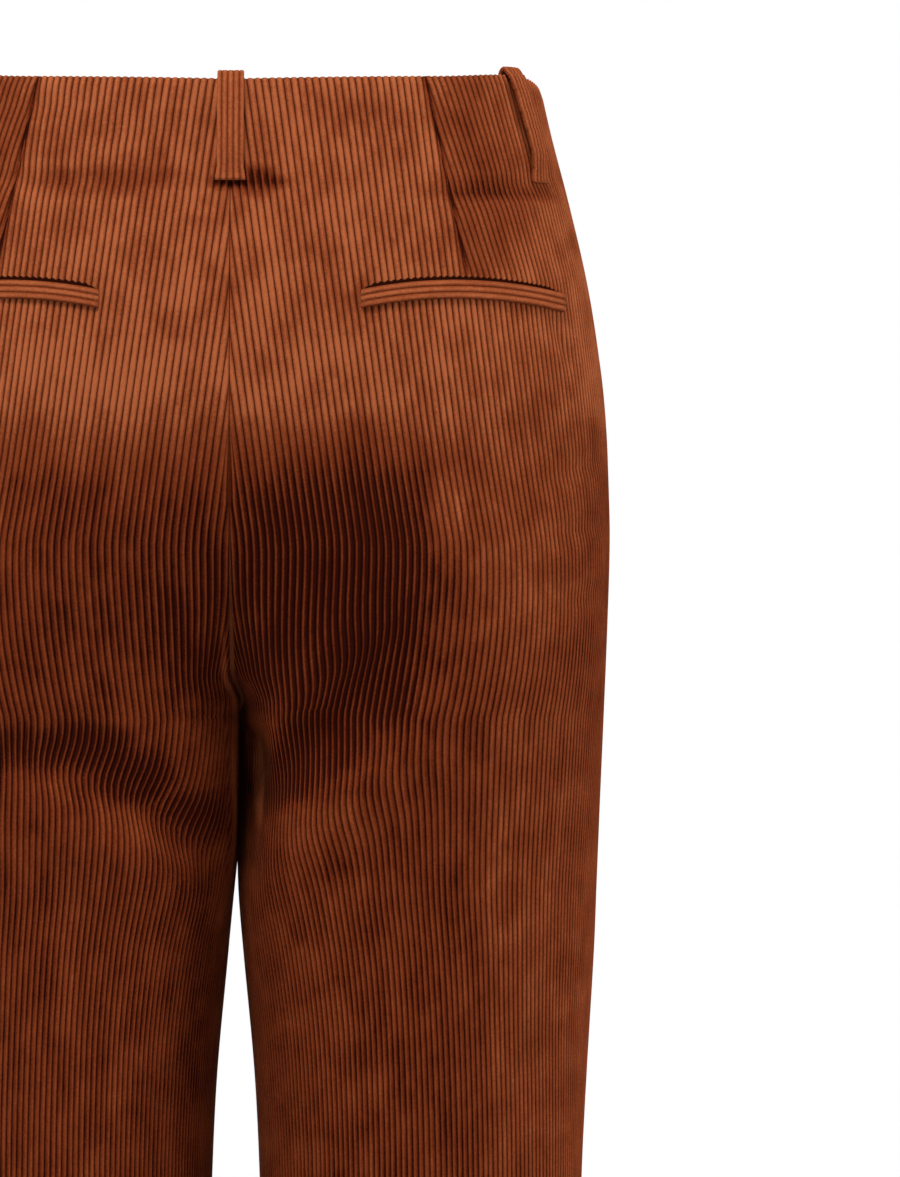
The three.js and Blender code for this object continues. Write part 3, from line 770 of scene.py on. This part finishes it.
def finish_shell(mesh):
    """Merges what meets, closes the two ends and turns the faces outwards."""
    bm = bmesh.new()
    bm.from_mesh(mesh)
    bmesh.ops.remove_doubles(bm, verts=bm.verts, dist=0.02 * MM)
    bmesh.ops.dissolve_degenerate(bm, edges=bm.edges, dist=0.01 * MM)
    rim = [edge for edge in bm.edges if edge.is_boundary]
    ends = bmesh.ops.holes_fill(bm, edges=rim, sides=0)["faces"]
    bmesh.ops.triangulate(bm, faces=ends, ngon_method="EAR_CLIP")
    bmesh.ops.recalc_face_normals(bm, faces=bm.faces)
    for face in bm.faces:
        face.smooth = True
    bm.to_mesh(mesh)
    bm.free()
    mesh.update()


def add_piece(name, mesh, materials, node=None):
    """Puts a finished mesh in the scene, on the trousers' one body."""
    for material in materials:
        mesh.materials.append(material)
    piece = in_scene(name, mesh)
    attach(piece, "root")
    if node:
        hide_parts(node)
    return piece


def side_gap(z):
    """Half the gap between back and front at the side seam, which opens at the pocket."""
    open_here = between(z, MOUTH_TOP_Z, MOUTH_END_Z, MOUTH_FADE, MOUTH_FADE)
    return (SEAM_GAP + (MOUTH_GAP - SEAM_GAP) * open_here) / 2


def panel_piece(front, side, materials):
    """A panel of corduroy: its ribbed outside and its plain inside, in one closed shell."""
    half = HALVES[front]
    name = panel_name(front, side)
    side_z, centre_z = row_heights(front)
    shares = half.SHARES
    lines = []
    for top, end in zip(side_z, centre_z):
        z = top + (end - top) * smoothstep(shares, 0.25, 1)
        lines.append((z, wale_place(front, shares, z)))
    first_wale = math.floor(min(place[0] for _, place in lines) / WALE) - 1
    last_wale = math.ceil(max(place[-1] for _, place in lines) / WALE) + 1
    steps = np.array([w + p for w in range(first_wale, last_wale) for p, _ in WALE_PROFILE]) * WALE
    outside = len(steps)
    points = np.empty((len(side_z), outside + INNER_COLUMNS, 3))
    uv = np.empty((len(side_z), outside + INNER_COLUMNS, 2))
    back_shares = np.linspace(1, 0, INNER_COLUMNS)
    for row, (z_line, place_line) in enumerate(lines):
        share = np.interp(steps, place_line, shares)
        z = np.interp(share, shares, z_line)
        length = half.length(z)
        first, last = side_gap(z) / length, 1 - SEAM_GAP / 2 / length
        share = np.clip(share, first, last)
        seam = np.minimum(share - first, last - share) * length
        if not front:
            dart = np.abs(share - dart_share(z)) * length
            share = np.where((z > DART_END_Z) & (dart < DART_MERGE), dart_share(z), share)
            seam = np.where(z > DART_END_Z, np.minimum(seam, dart * DART_NARROW), seam)
        roll = 1 - np.clip(seam / SEAM_ROLL, 0, 1)
        lift = (wale_height(steps) - 1) * WALE_DEPTH * (1 - roll**2) - SEAM_DIP * roll**2
        if row in (0, len(lines) - 1):
            lift -= EDGE_LOWERED
            scallop = (wale_height(steps) - 1) * EDGE_SCALLOP * (1 - roll)
            z = z + scallop * (1 if row == 0 else -1)
        points[row, :outside], _ = on_cloth(front, side, share, z, lift)
        inner_z = np.interp(back_shares, shares, z_line)
        points[row, outside:], _ = on_cloth(front, side, back_shares, inner_z, -CLOTH)
        uv[row, :outside, 0] = steps / WALE
        uv[row, :outside, 1] = -z / WALE
        uv[row, outside:, 0] = wale_place(front, back_shares, inner_z) / WALE
        uv[row, outside:, 1] = -inner_z / WALE
    points = np.concatenate((points, points[:, :1]), axis=1)
    uv = np.concatenate((uv, uv[:, :1]), axis=1)
    # The nap's tone with painted light and painted shade laid over it
    nap_and_shade = nap_and_shade_at(name, points[..., 0] - between_legs(points), points[..., 2])
    mesh = place_grid(name + "_cloth", points, uv, nap_and_shade, outside)
    finish_shell(mesh)
    piece = add_piece(name + "_cloth", mesh, materials, name)
    widths = half.length(np.arange(0, HEM_Z, -half.STEP_DOWN))


def shell(name, outer, inner, uv, materials, node=None, nap_and_shade=0.5):
    """A thin closed piece between its outside and its inside, each a table of points."""
    inner = inner[:, ::-1]
    inner_uv = uv[:, np.linspace(uv.shape[1] - 1, 0, inner.shape[1]).astype(int)]
    points = np.concatenate((outer, inner, outer[:, :1]), axis=1)
    places = np.concatenate((uv, inner_uv, uv[:, :1]), axis=1)
    mesh = place_grid(name, points, places, np.full(points.shape[:2], nap_and_shade))
    finish_shell(mesh)
    return add_piece(name, mesh, materials, node)


def mirrored(table):
    """A table of places from the middle outwards, made whole across the middle."""
    whole = [(-place, height) for place, height in reversed(table) if place > 0]
    return np.array(whole + list(table))


def near_share(front, side, x, z, across):
    """The panel and share at a distance along the cloth from a place x off the middle."""
    half = HALVES[front]
    share = half.share_at(x, z) + across / half.length(z)
    return np.where(share > 1, 2 - share, share), share > 1


def loop_line():
    """The middle line of a belt loop: how far off the cloth and how high it runs."""
    rest = LIE + LOOP_THICK / 2
    inside = -CLOTH - LIE - LOOP_THICK / 2
    over = LOOP_ABOVE - LOOP_THICK / 2
    foot = LOOP_ABOVE - LOOP_LENGTH
    corners = (
        (rest, foot),
        (rest + 0.2, foot + 5),
        (rest + LOOP_BOW, foot + 14),
        (rest + LOOP_BOW, -9),
        (rest + LOOP_BOW * 0.6, -1.5),
        (rest + (inside - rest) * 0.3, over - 0.3),
        (rest + (inside - rest) * 0.7, over - 0.3),
        (inside - 0.2, -0.6),
        (inside, -LOOP_INSIDE),
    )
    out, high = np.array(corners).T
    run = run_along(out, high)
    at = np.linspace(0, run[-1], 74)
    return smooth_curve(run, out, at), smooth_curve(run, high, at), at


def belt_loop(name, front, side, x, foot_x, materials):
    """A strip folded lengthwise, stitched along both edges and caught over the top edge."""
    half = HALVES[front]
    out, high, at = loop_line()
    step_out, step_high = np.gradient(out), np.gradient(high)
    size = np.hypot(step_out, step_high)
    away = np.stack((step_high / size, -step_out / size), axis=1)
    ridges = mirrored(LOOP_RIDGES)
    across = ridges[:, 0] * LOOP_WIDTH / 2
    flat = np.linspace(-LOOP_WIDTH / 2, LOOP_WIDTH / 2, 7)
    faces = []
    ribbed = (ridges[:, 1] - 1) * LOOP_RELIEF
    for places, lifts, sign in ((across, ribbed, 1), (flat, np.zeros(7), -1)):
        rows = []
        for i in range(len(at)):
            off = sign * (LOOP_THICK / 2) + lifts * sign
            there = out[i] + away[i, 0] * off
            height = high[i] + away[i, 1] * off
            z = np.minimum(height, 0)
            middle_z = float(min(high[i], 0))
            place_x = x + (foot_x - x) * min(-middle_z / LOOP_DROP, 1)
            flare = 1 + LOOP_FLARE * smoothstep(-middle_z, LOOP_DROP - LOOP_FLARE_HIGH, LOOP_DROP)
            share, past = near_share(front, side, place_x, middle_z, places * flare)
            here, _ = on_cloth(front, side, share, z, there)
            other, _ = on_cloth(front, -side, share, z, there)
            point = np.where(past[:, None], other, here)
            top = half.read(half.points, share, np.zeros_like(share))[:, 2]
            point[:, 2] = np.where(height > 0, height + top, point[:, 2])
            rows.append(point)
        faces.append(np.array(rows))
    uv = np.empty((len(at), len(across), 2))
    uv[..., 0] = ridges[:, 0] * LOOP_WALES / 2 + 0.5
    uv[..., 1] = at[:, None] / WALE
    piece = shell(name + "_cloth", faces[0], faces[1], uv, materials, name, STRIP_NAP)


def welt_edge(along):
    """The welt's upper edge: distance from the middle and height, from its outer end (0) to 1."""
    x = WELT_X0 + (WELT_X1 - WELT_X0) * along
    return x, WELT_TOP_Z - WELT_ARCH * (2 * along - 1) ** 2


def back_welt(side, materials):
    """The pocket's welt: a folded strip with its wales along it, arched a little."""
    name = sided("back_pocket_welt", side)
    half = HALVES[BACK]
    t = np.linspace(0, 1, 61)
    steps = [wale + place for wale in range(WELT_WALES) for place, _ in WALE_PROFILE]
    down = np.array(steps + [WELT_WALES]) / WELT_WALES
    relief = (wale_height(down[:-1] * WELT_WALES * WALE) - 1) * WELT_RELIEF
    relief = np.append(relief, -WELT_RELIEF)
    relief[0] = -WELT_ROUNDED
    outer = np.empty((len(t), len(down), 3))
    inner = np.empty((len(t), 4, 3))
    uv = np.empty((len(t), len(down), 2))
    for i, along in enumerate(t):
        x, top = welt_edge(along)
        z = top - down * WELT_HEIGHT
        share = half.shares_at(x, z)
        sunk = WELT_END_SUNK * (1 - smoothstep(min(along, 1 - along), 0, WELT_END))
        outer[i], _ = on_cloth(BACK, side, share, z, LIE + WELT_THICK + relief - sunk)
        z = top - np.linspace(0, WELT_HEIGHT, 4)
        inner[i], _ = on_cloth(BACK, side, half.shares_at(x, z), z, LIE)
        uv[i, :, 0] = down * WELT_WALES
        uv[i, :, 1] = along * (WELT_X0 - WELT_X1) / WALE + FIRST_WALE
    piece = shell(name + "_cloth", outer, inner, uv, materials, name, STRIP_NAP)


def pocket_mouth_shadow(side, materials):
    """A dark sheet of painted shadow for the pocket's mouth, between the welt and the cloth above,
    whose wales end there.
    """
    half = HALVES[BACK]
    along = np.linspace(0.015, 0.985, 241)
    outer = np.empty((len(along), 3, 3))
    inner = np.empty((len(along), 2, 3))
    for i, t in enumerate(along):
        x, top = welt_edge(t)
        share = half.share_at(x, top)
        jag = MOUTH_JAG * math.sin(wale_place(BACK, share, top) / WALE * 2 * math.pi)
        high = (MOUTH_DARK + jag) * min(1, MOUTH_TAPER * t, MOUTH_TAPER * (1 - t))
        z = np.array([top - MOUTH_TUCK, top + high / 2, top + high])
        outer[i], _ = on_cloth(BACK, side, share, z, np.array(MOUTH_LIFTS))
        inner[i], _ = on_cloth(BACK, side, share, z[[0, 2]], -MOUTH_SUNK)
    shell(sided("pocket_mouth_shadow", side), outer, inner, np.zeros((len(along), 3, 2)), materials)


def side_facing(side, materials):
    """The strip of cloth that shows through the open side seam."""
    name = sided("side_pocket_facing", side)
    across = np.arange(-FACING_WIDTH / 2, FACING_WIDTH / 2 + 0.01, WALE / 5)
    zs = np.linspace(MOUTH_TOP_Z + FACING_OVERLAP, MOUTH_END_Z - FACING_OVERLAP, 34)
    deep = -CLOTH - SEAM_GAP - FACING_CLEAR
    faces = []
    for places, lift in ((across, deep), (np.linspace(across[0], across[-1], 5), deep - FACING_THICK)):
        rows = []
        for z in zs:
            front_share = np.abs(places) / HALVES[FRONT].length(z)
            back_share = np.abs(places) / HALVES[BACK].length(z)
            ridge = (wale_height(places) - 1) * FACING_RELIEF if lift == deep else 0.0
            heights = np.full(len(places), float(z))
            before, _ = on_cloth(FRONT, side, front_share, heights, lift + ridge)
            behind, _ = on_cloth(BACK, side, back_share, heights, lift + ridge)
            rows.append(np.where((places < 0)[:, None], before, behind))
        faces.append(np.array(rows))
    uv = np.empty((len(zs), len(across), 2))
    uv[..., 0] = across / WALE + FIRST_WALE
    uv[..., 1] = -zs[:, None] / WALE
    piece = shell(name + "_cloth", faces[0], faces[1], uv, materials, name)


def fly_width(z):
    low = np.clip((z - FLY_END_Z) / FLY_CORNER, 0, 1)
    return np.maximum(FLY_WIDTH * np.sqrt(1 - (1 - low) ** 2), FLY_TIP)


def fly_thickness(inwards):
    """The lap is thinner towards its curved edge (0) than at the centre seam (1)."""
    return FLY_THIN_EDGE + (FLY_THICK - FLY_THIN_EDGE) * smoothstep(inwards, 0.2, 1)


def fly_lap(materials):
    """The lap over the zip, on the wearer's right front, with the front's own wales."""
    half = HALVES[FRONT]
    t = np.linspace(0, 1, 56)
    outer_edge = FLY_EDGES_SUNK[0] * (1 - smoothstep(t, 0, FLY_EDGE))
    centre_edge = FLY_EDGES_SUNK[1] * (1 - smoothstep(1 - t, 0, FLY_EDGE))
    outer, inner, uv = [], [], []
    for z in np.linspace(FLY_TOP_Z, FLY_END_Z, 62):
        width = fly_width(z)
        across = width + (FLY_INSET - width) * t
        share = 1 - across / half.length(z)
        heights = np.full(len(t), float(z))
        place = wale_place(FRONT, share, heights)
        ridge = (wale_height(place) - 1) * FLY_RELIEF * smoothstep(t, 0, 0.06)
        lift = LIE + fly_thickness(t) + ridge - outer_edge - centre_edge
        outer.append(on_cloth(FRONT, -1, share, heights, lift)[0])
        inner.append(on_cloth(FRONT, -1, share[::8], heights[::8], LIE)[0])
        uv.append(np.stack((place / WALE, -heights / WALE), axis=1))
    outer, inner, uv = np.array(outer), np.array(inner), np.array(uv)
    piece = shell("fly_lap_cloth", outer, inner, uv, materials, "fly_lap", nap_and_shade=FLY_NAP)


def at_run(place, run, table):
    """A row of a table between its rows, by the length run up to each."""
    return np.array([np.interp(place, run, values) for values in table.T])


def stitches(name, runs, materials, thick=THREAD, stitch=STITCH):
    """Sewing thread along lines: each run is a table of points and the way the cloth faces."""
    bm = bmesh.new()
    reach = (stitch - STITCH_GAP) / 2
    for points, normals in runs:
        run = run_along(*points.T)
        count = max(1, int(run[-1] / stitch))
        for i in range(count):
            middle = (i + 0.5) * run[-1] / count
            start, end = at_run(middle - reach, run, points), at_run(middle + reach, run, points)
            along = Vector(end - start)
            made = bmesh.ops.create_icosphere(bm, subdivisions=1, radius=1)["verts"]
            bmesh.ops.scale(bm, verts=made, vec=(along.length / 2, thick, thick))
            turn = along.to_track_quat("X", "Z").to_matrix()
            bmesh.ops.rotate(bm, verts=made, cent=(0, 0, 0), matrix=turn)
            place = Vector((start + end) / 2 + at_run(middle, run, normals) * thick * THREAD_PROUD)
            bmesh.ops.translate(bm, verts=made, vec=place)
    bmesh.ops.scale(bm, verts=bm.verts, vec=(MM, MM, MM))
    add_piece(name, new_mesh(name, bm), materials)


def hem_stitches():
    """A row of stitches round each leg, where the hem is turned up."""
    runs = []
    share = np.linspace(0.004, 0.996, 160)
    z = np.full(160, float(HEM_Z + HEM_STITCH_UP))
    for front in (BACK, FRONT):
        ridge = (wale_height(wale_place(front, share, z)) - 1) * WALE_DEPTH * HEM_STITCH_SINK
        for side in (1, -1):
            runs.append(on_cloth(front, side, share, z, ridge + HEM_STITCH_LIFT))
    return runs


def welt_stitches(side):
    """Rows of stitches: below the welt, and the small square at each end."""
    half = HALVES[BACK]
    runs = []
    lift = LIE + WELT_THICK - WELT_STITCH_SUNK
    x, top = welt_edge(np.linspace(0.01, 0.99, 80))
    z = top - WELT_HEIGHT + WELT_STITCH_BELOW
    runs.append(on_cloth(BACK, side, half.shares_at(x, z), z, lift - WELT_STITCH_BELOW))
    for along in WELT_BARS:
        x, top = welt_edge(along)
        z = top - np.linspace(0.6, WELT_HEIGHT - 0.8, 12)
        runs.append(on_cloth(BACK, side, half.shares_at(x, z), z, lift))
    return runs


def fly_stitches():
    """Two curved rows that hold the fly's lap."""
    half = HALVES[FRONT]
    runs = []
    for inset in FLY_STITCH_INSETS:
        z = np.linspace(FLY_TOP_Z - 2, FLY_END_Z + inset * 0.9, 120)
        low = np.clip((z - FLY_END_Z - inset) / (FLY_CORNER - inset), 0, 1)
        across = (FLY_WIDTH - inset) * np.sqrt(1 - (1 - low) ** 2) + 1
        share = 1 - across / half.length(z)
        runs.append(on_cloth(FRONT, -1, share, z, LIE + fly_thickness(1 - across / fly_width(z))))
    return runs


def seat_button(bm, turn, seat):
    """Turns a part of the button the way the cloth faces and moves it into place, in metres."""
    bmesh.ops.rotate(bm, verts=bm.verts, cent=(0, 0, 0), matrix=turn)
    bmesh.ops.translate(bm, verts=bm.verts, vec=seat)
    bmesh.ops.scale(bm, verts=bm.verts, vec=(MM, MM, MM))


def button(horn, dark, thread):
    """The four-hole button with its raised rim, built in place on the fly's lap."""
    half = HALVES[FRONT]
    share = 1 - BUTTON_FROM_CENTRE / half.length(float(BUTTON_Z))
    seat, normal = on_cloth(FRONT, -1, share, BUTTON_Z, LIE + FLY_THICK + BUTTON_LIFT)
    seat, normal = Vector(seat), Vector(normal)
    turn = Vector((0, 0, 1)).rotation_difference(normal).to_matrix()
    bm = bmesh.new()
    line = [bm.verts.new((0, 0, 0))]
    for inwards, down in BUTTON_OUTLINE:
        line.append(bm.verts.new((BUTTON_RADIUS - inwards, 0, BUTTON_THICK - down)))
    geom = line + [bm.edges.new(pair) for pair in zip(line[:-1], line[1:])]
    whole = 2 * math.pi
    bmesh.ops.spin(bm, geom=geom, cent=(0, 0, 0), axis=(0, 0, 1), angle=whole, steps=64, use_merge=True)
    bmesh.ops.remove_doubles(bm, verts=bm.verts, dist=0.001)
    bmesh.ops.recalc_face_normals(bm, faces=bm.faces)
    seat_button(bm, turn, seat)
    add_piece("fly_button_horn", new_mesh("fly_button_horn", bm), [horn], "fly_button")
    # The holes are dark discs of painted shade set in the button's dish
    holes = bmesh.new()
    for x in (-BUTTON_SPREAD, BUTTON_SPREAD):
        for y in (-BUTTON_SPREAD, BUTTON_SPREAD):
            wide = {"radius1": BUTTON_HOLE, "radius2": BUTTON_HOLE}
            made = bmesh.ops.create_cone(holes, cap_ends=True, segments=20, depth=0.5, **wide)["verts"]
            bmesh.ops.translate(holes, verts=made, vec=(x, y, BUTTON_THICK - BUTTON_DISH))
    seat_button(holes, turn, seat)
    add_piece("button_holes_shadow", new_mesh("button_holes_shadow", holes), [dark])
    runs = []
    right, up, out = np.array(turn).T
    t = np.linspace(-1, 1, 9)[:, None]
    for x in (-BUTTON_SPREAD, BUTTON_SPREAD):
        for shift in BUTTON_THREADS:
            lift = BUTTON_THICK - 0.85 + 0.45 * (1 - t**2)
            points = np.array(seat) + right * (x + shift) + up * BUTTON_SPREAD * t + out * lift
            runs.append((points, np.repeat(out[None], len(t), axis=0)))
    stitches("button_thread", runs, [thread], BUTTON_THREAD, BUTTON_STITCH)


def new_material(name, roughness, shine=0.5):
    """A material, its node tree and its shader."""
    material = bpy.data.materials.new(name)
    material.use_nodes = True
    tree = material.node_tree
    tree.nodes.clear()
    output = tree.nodes.new("ShaderNodeOutputMaterial")
    shader = tree.nodes.new("ShaderNodeBsdfPrincipled")
    shader.inputs["Roughness"].default_value = roughness
    shader.inputs["Specular IOR Level"].default_value = shine
    tree.links.new(shader.outputs["BSDF"], output.inputs["Surface"])
    return material, tree, shader


def plain_material(name, colour, *finish):
    material, _, shader = new_material(name, *finish)
    shader.inputs["Base Color"].default_value = (*colour, 1)
    return material


def add_node(tree, kind, inputs, **settings):
    """A new node; each of its inputs, by name or number, is a link or a constant."""
    node = tree.nodes.new(kind)
    for name, value in settings.items():
        setattr(node, name, value)
    for name, value in inputs.items():
        if isinstance(value, bpy.types.NodeSocket):
            tree.links.new(value, node.inputs[name])
        else:
            node.inputs[name].default_value = value
    return node


def mix_colour(tree, kind, amount, first, second):
    inputs = {0: amount, 6: first, 7: second}
    return add_node(tree, "ShaderNodeMix", inputs, data_type="RGBA", blend_type=kind).outputs[2]


def maths(tree, operation, *values):
    return add_node(tree, "ShaderNodeMath", dict(enumerate(values)), operation=operation).outputs[0]


def shifted(tree, value, source, amount):
    """The value, moved up and down by a pattern."""
    return maths(tree, "ADD", value, maths(tree, "MULTIPLY_ADD", source, amount, -amount / 2))


def ramp(tree, source, stops):
    """A curve through stops of place and value, read at the source."""
    node = tree.nodes.new("ShaderNodeValToRGB")
    elements = node.color_ramp.elements
    while len(elements) < len(stops):
        elements.new(0.5)
    for element, (place, value) in zip(elements, stops):
        element.position = place
        colour = value if isinstance(value, tuple) else (value,) * 3
        element.color = (*colour, 1)
    tree.links.new(source, node.inputs["Fac"])
    return node.outputs["Color"]


def stretched(tree, vector, scale):
    inputs = {"Vector": vector, "Scale": scale}
    return add_node(tree, "ShaderNodeMapping", inputs).outputs["Vector"]


def noise(tree, vector, scale, detail, roughness=0.5):
    inputs = {"Vector": vector, "Scale": scale, "Detail": detail, "Roughness": roughness}
    return add_node(tree, "ShaderNodeTexNoise", inputs).outputs["Fac"]


def wales_map(tree):
    """The cloth's own coordinates: across and along the wales, in wales."""
    return add_node(tree, "ShaderNodeUVMap", {}, uv_map="Wales").outputs["UV"]


def object_place(tree):
    return tree.nodes.new("ShaderNodeTexCoord").outputs["Object"]


def raise_surface(tree, shader, height, strength, distance):
    """Lets a pattern raise the surface by up to a distance, in metres."""
    inputs = {"Strength": strength, "Distance": distance, "Height": height}
    bump = add_node(tree, "ShaderNodeBump", inputs)
    tree.links.new(bump.outputs["Normal"], shader.inputs["Normal"])


def corduroy_material(name, groove_dark=1.0):
    """Rust corduroy: the pile's colour runs lighter or darker with the nap and with the painted light
    and shade laid over it, with painted highlights on each wale's crown and one flank, over darker
    grooves.
    """
    material, tree, shader = new_material(name, 0.9, 0.04)
    shader.inputs["Sheen Weight"].default_value = SHEEN
    shader.inputs["Sheen Roughness"].default_value = SHEEN_ROUGHNESS
    shader.inputs["Sheen Tint"].default_value = (*SHEEN_TINT, 1)
    uv = wales_map(tree)
    split = add_node(tree, "ShaderNodeSeparateXYZ", {0: uv})
    across = maths(tree, "FRACT", split.outputs["X"])
    # The nap's tone with painted light and shade, from the mesh
    lie_and_shade = add_node(tree, "ShaderNodeAttribute", {}, attribute_name="NapAndShade").outputs["Fac"]
    place = object_place(tree)
    brushed = noise(tree, stretched(tree, uv, BRUSHED), 0.5, 6, 0.68)
    streaks = noise(tree, stretched(tree, uv, STREAKS), 1.0, 3)
    tufts = noise(tree, place, TUFTS, 2, 0.6)
    fuzz = noise(tree, place, FUZZ, 2, 0.6)
    # Painted highlights across each wale, on its crown and on one flank
    crown_highlight = ramp(tree, across, CROWN_HIGHLIGHT)
    nap_and_shade = lie_and_shade
    for source, amount in zip((brushed, streaks, tufts, crown_highlight), NAP_MOVED):
        nap_and_shade = shifted(tree, nap_and_shade, source, amount)
    low = ramp(tree, lie_and_shade, DARK_NAP_AND_SHADE)
    flank_highlight = maths(tree, "SUBTRACT", ramp(tree, across, FLANK_HIGHLIGHT), 0.5)
    nap_and_shade = maths(tree, "MULTIPLY_ADD", maths(tree, "MULTIPLY", flank_highlight, low), LINES_SHOWN, nap_and_shade)
    groove = ramp(tree, across, [(at, shade * groove_dark) for at, shade in GROOVE_SHADES])
    softer = maths(tree, "MULTIPLY_ADD", low, -GROOVE_SOFTENED, 1.0)
    groove = maths(tree, "MULTIPLY", groove, softer)
    fine = mix_colour(tree, "OVERLAY", 0.5, ramp(tree, nap_and_shade, PILE_LIT_AND_SHADED), fuzz)
    colour = mix_colour(tree, "MIX", groove, fine, ramp(tree, nap_and_shade, GROOVES_LIT_AND_SHADED))
    tree.links.new(colour, shader.inputs["Base Color"])
    soft = mix_colour(tree, "MIX", 0.5, tufts, fuzz)
    raise_surface(tree, shader, soft, *PILE_RAISED)
    return material


def wrong_side_material(name):
    """The plain weave on the cloth's inside."""
    material, tree, shader = new_material(name, 0.92, 0.05)
    uv = wales_map(tree)
    threads = []
    for direction in ("X", "Y"):
        inputs = {"Vector": uv, "Scale": WEAVE_SCALE, "Distortion": WEAVE_UNEVEN}
        wave = add_node(tree, "ShaderNodeTexWave", inputs, bands_direction=direction)
        threads.append(wave.outputs["Fac"])
    weave = mix_colour(tree, "MIX", 0.5, *threads)
    colour = ramp(tree, noise(tree, object_place(tree), 60, 4, 0.6), WRONG_SIDE)
    woven = mix_colour(tree, "MULTIPLY", 0.45, colour, weave)
    tree.links.new(woven, shader.inputs["Base Color"])
    raise_surface(tree, shader, weave, *WEAVE_RAISED)
    return material


def camera():
    """The photo's view: far away and square to the trousers' back."""
    data = bpy.data.cameras.new("camera")
    data.sensor_fit = "VERTICAL"
    data.sensor_height = SENSOR
    data.sensor_width = SENSOR * PHOTO_WIDE / PHOTO_HIGH
    data.lens = SENSOR * CAMERA_DISTANCE / (PHOTO_HIGH * MM_PER_PIXEL)
    data.clip_end = 100
    seen = in_scene("camera", data)
    x = -(PHOTO_WIDE / 2 - MIDDLE_PIXEL) * MM_PER_PIXEL
    nearer = 1 - TOP_EDGE_Y / CAMERA_DISTANCE
    z = -(PHOTO_HIGH / 2 - TOP_PIXEL) * MM_PER_PIXEL * nearer
    seen.location = Vector((x, CAMERA_DISTANCE, z)) * MM
    seen.rotation_euler = (math.radians(90), 0, math.radians(180))
    bpy.context.scene.camera = seen


def area_light(name, place, aim, size, watts):
    data = bpy.data.lights.new(name, "AREA")
    data.shape = "RECTANGLE"
    data.size, data.size_y = size
    data.energy = watts
    lamp = in_scene(name, data)
    lamp.location = place
    lamp.rotation_euler = (Vector(aim) - Vector(place)).to_track_quat("-Z", "Y").to_euler()


def studio():
    """A white room with soft light from high above and from both sides."""
    scene = bpy.context.scene
    scene.view_settings.view_transform = "Standard"
    world = bpy.data.worlds.new("studio")
    scene.world = world
    world.use_nodes = True
    tree = world.node_tree
    background = tree.nodes["Background"]
    background.inputs["Color"].default_value = (1, 1, 1, 1)
    seen = tree.nodes.new("ShaderNodeLightPath").outputs["Is Camera Ray"]
    inputs = {"Value": seen, "To Min": ROOM_LIGHT, "To Max": 1.0}
    strength = add_node(tree, "ShaderNodeMapRange", inputs)
    tree.links.new(strength.outputs["Result"], background.inputs["Strength"])
    for name, place, aim, size, watts in LIGHTS:
        area_light(name, place, aim, size, watts)
    bm = bmesh.new()
    bmesh.ops.create_circle(bm, cap_ends=True, segments=64, radius=FLOOR_RADIUS * MM)
    bmesh.ops.translate(bm, verts=bm.verts, vec=(0, 0, (HEM_Z - FLOOR_BELOW) * MM))
    floor = in_scene("floor", new_mesh("floor", bm))
    floor.data.materials.append(plain_material("floor_white", (0.86, 0.86, 0.85), 0.7))


camera()
studio()
corduroy = corduroy_material("corduroy")
thread = plain_material("thread", (0.20, 0.06, 0.025), 0.75, 0.2)
strip = corduroy_material("corduroy_strip", 0.55)
wrong_side = wrong_side_material("corduroy_wrong_side")
# A flat dark colour of painted shade, for the pocket's mouth and the button's holes
dark = plain_material("painted_shade_dark", (0.022, 0.0045, 0.0018), 1.0, 0.0)
horn = plain_material("button_horn", (0.075, 0.027, 0.013), 0.32)
for is_front in (BACK, FRONT):
    for wearer_side in (1, -1):
        panel_piece(is_front, wearer_side, [corduroy, wrong_side])
for wearer_side in (1, -1):
    back_welt(wearer_side, [strip])
    pocket_mouth_shadow(wearer_side, [dark])
    side_facing(wearer_side, [corduroy])
for loop_name, place in LOOPS.items():
    belt_loop(loop_name, *place, [strip])
fly_lap([corduroy])
button(horn, dark, thread)
stitches("welt_stitches", welt_stitches(1) + welt_stitches(-1), [thread])
stitches("fly_stitches", fly_stitches(), [thread])
stitches("hem_stitches", hem_stitches(), [thread])
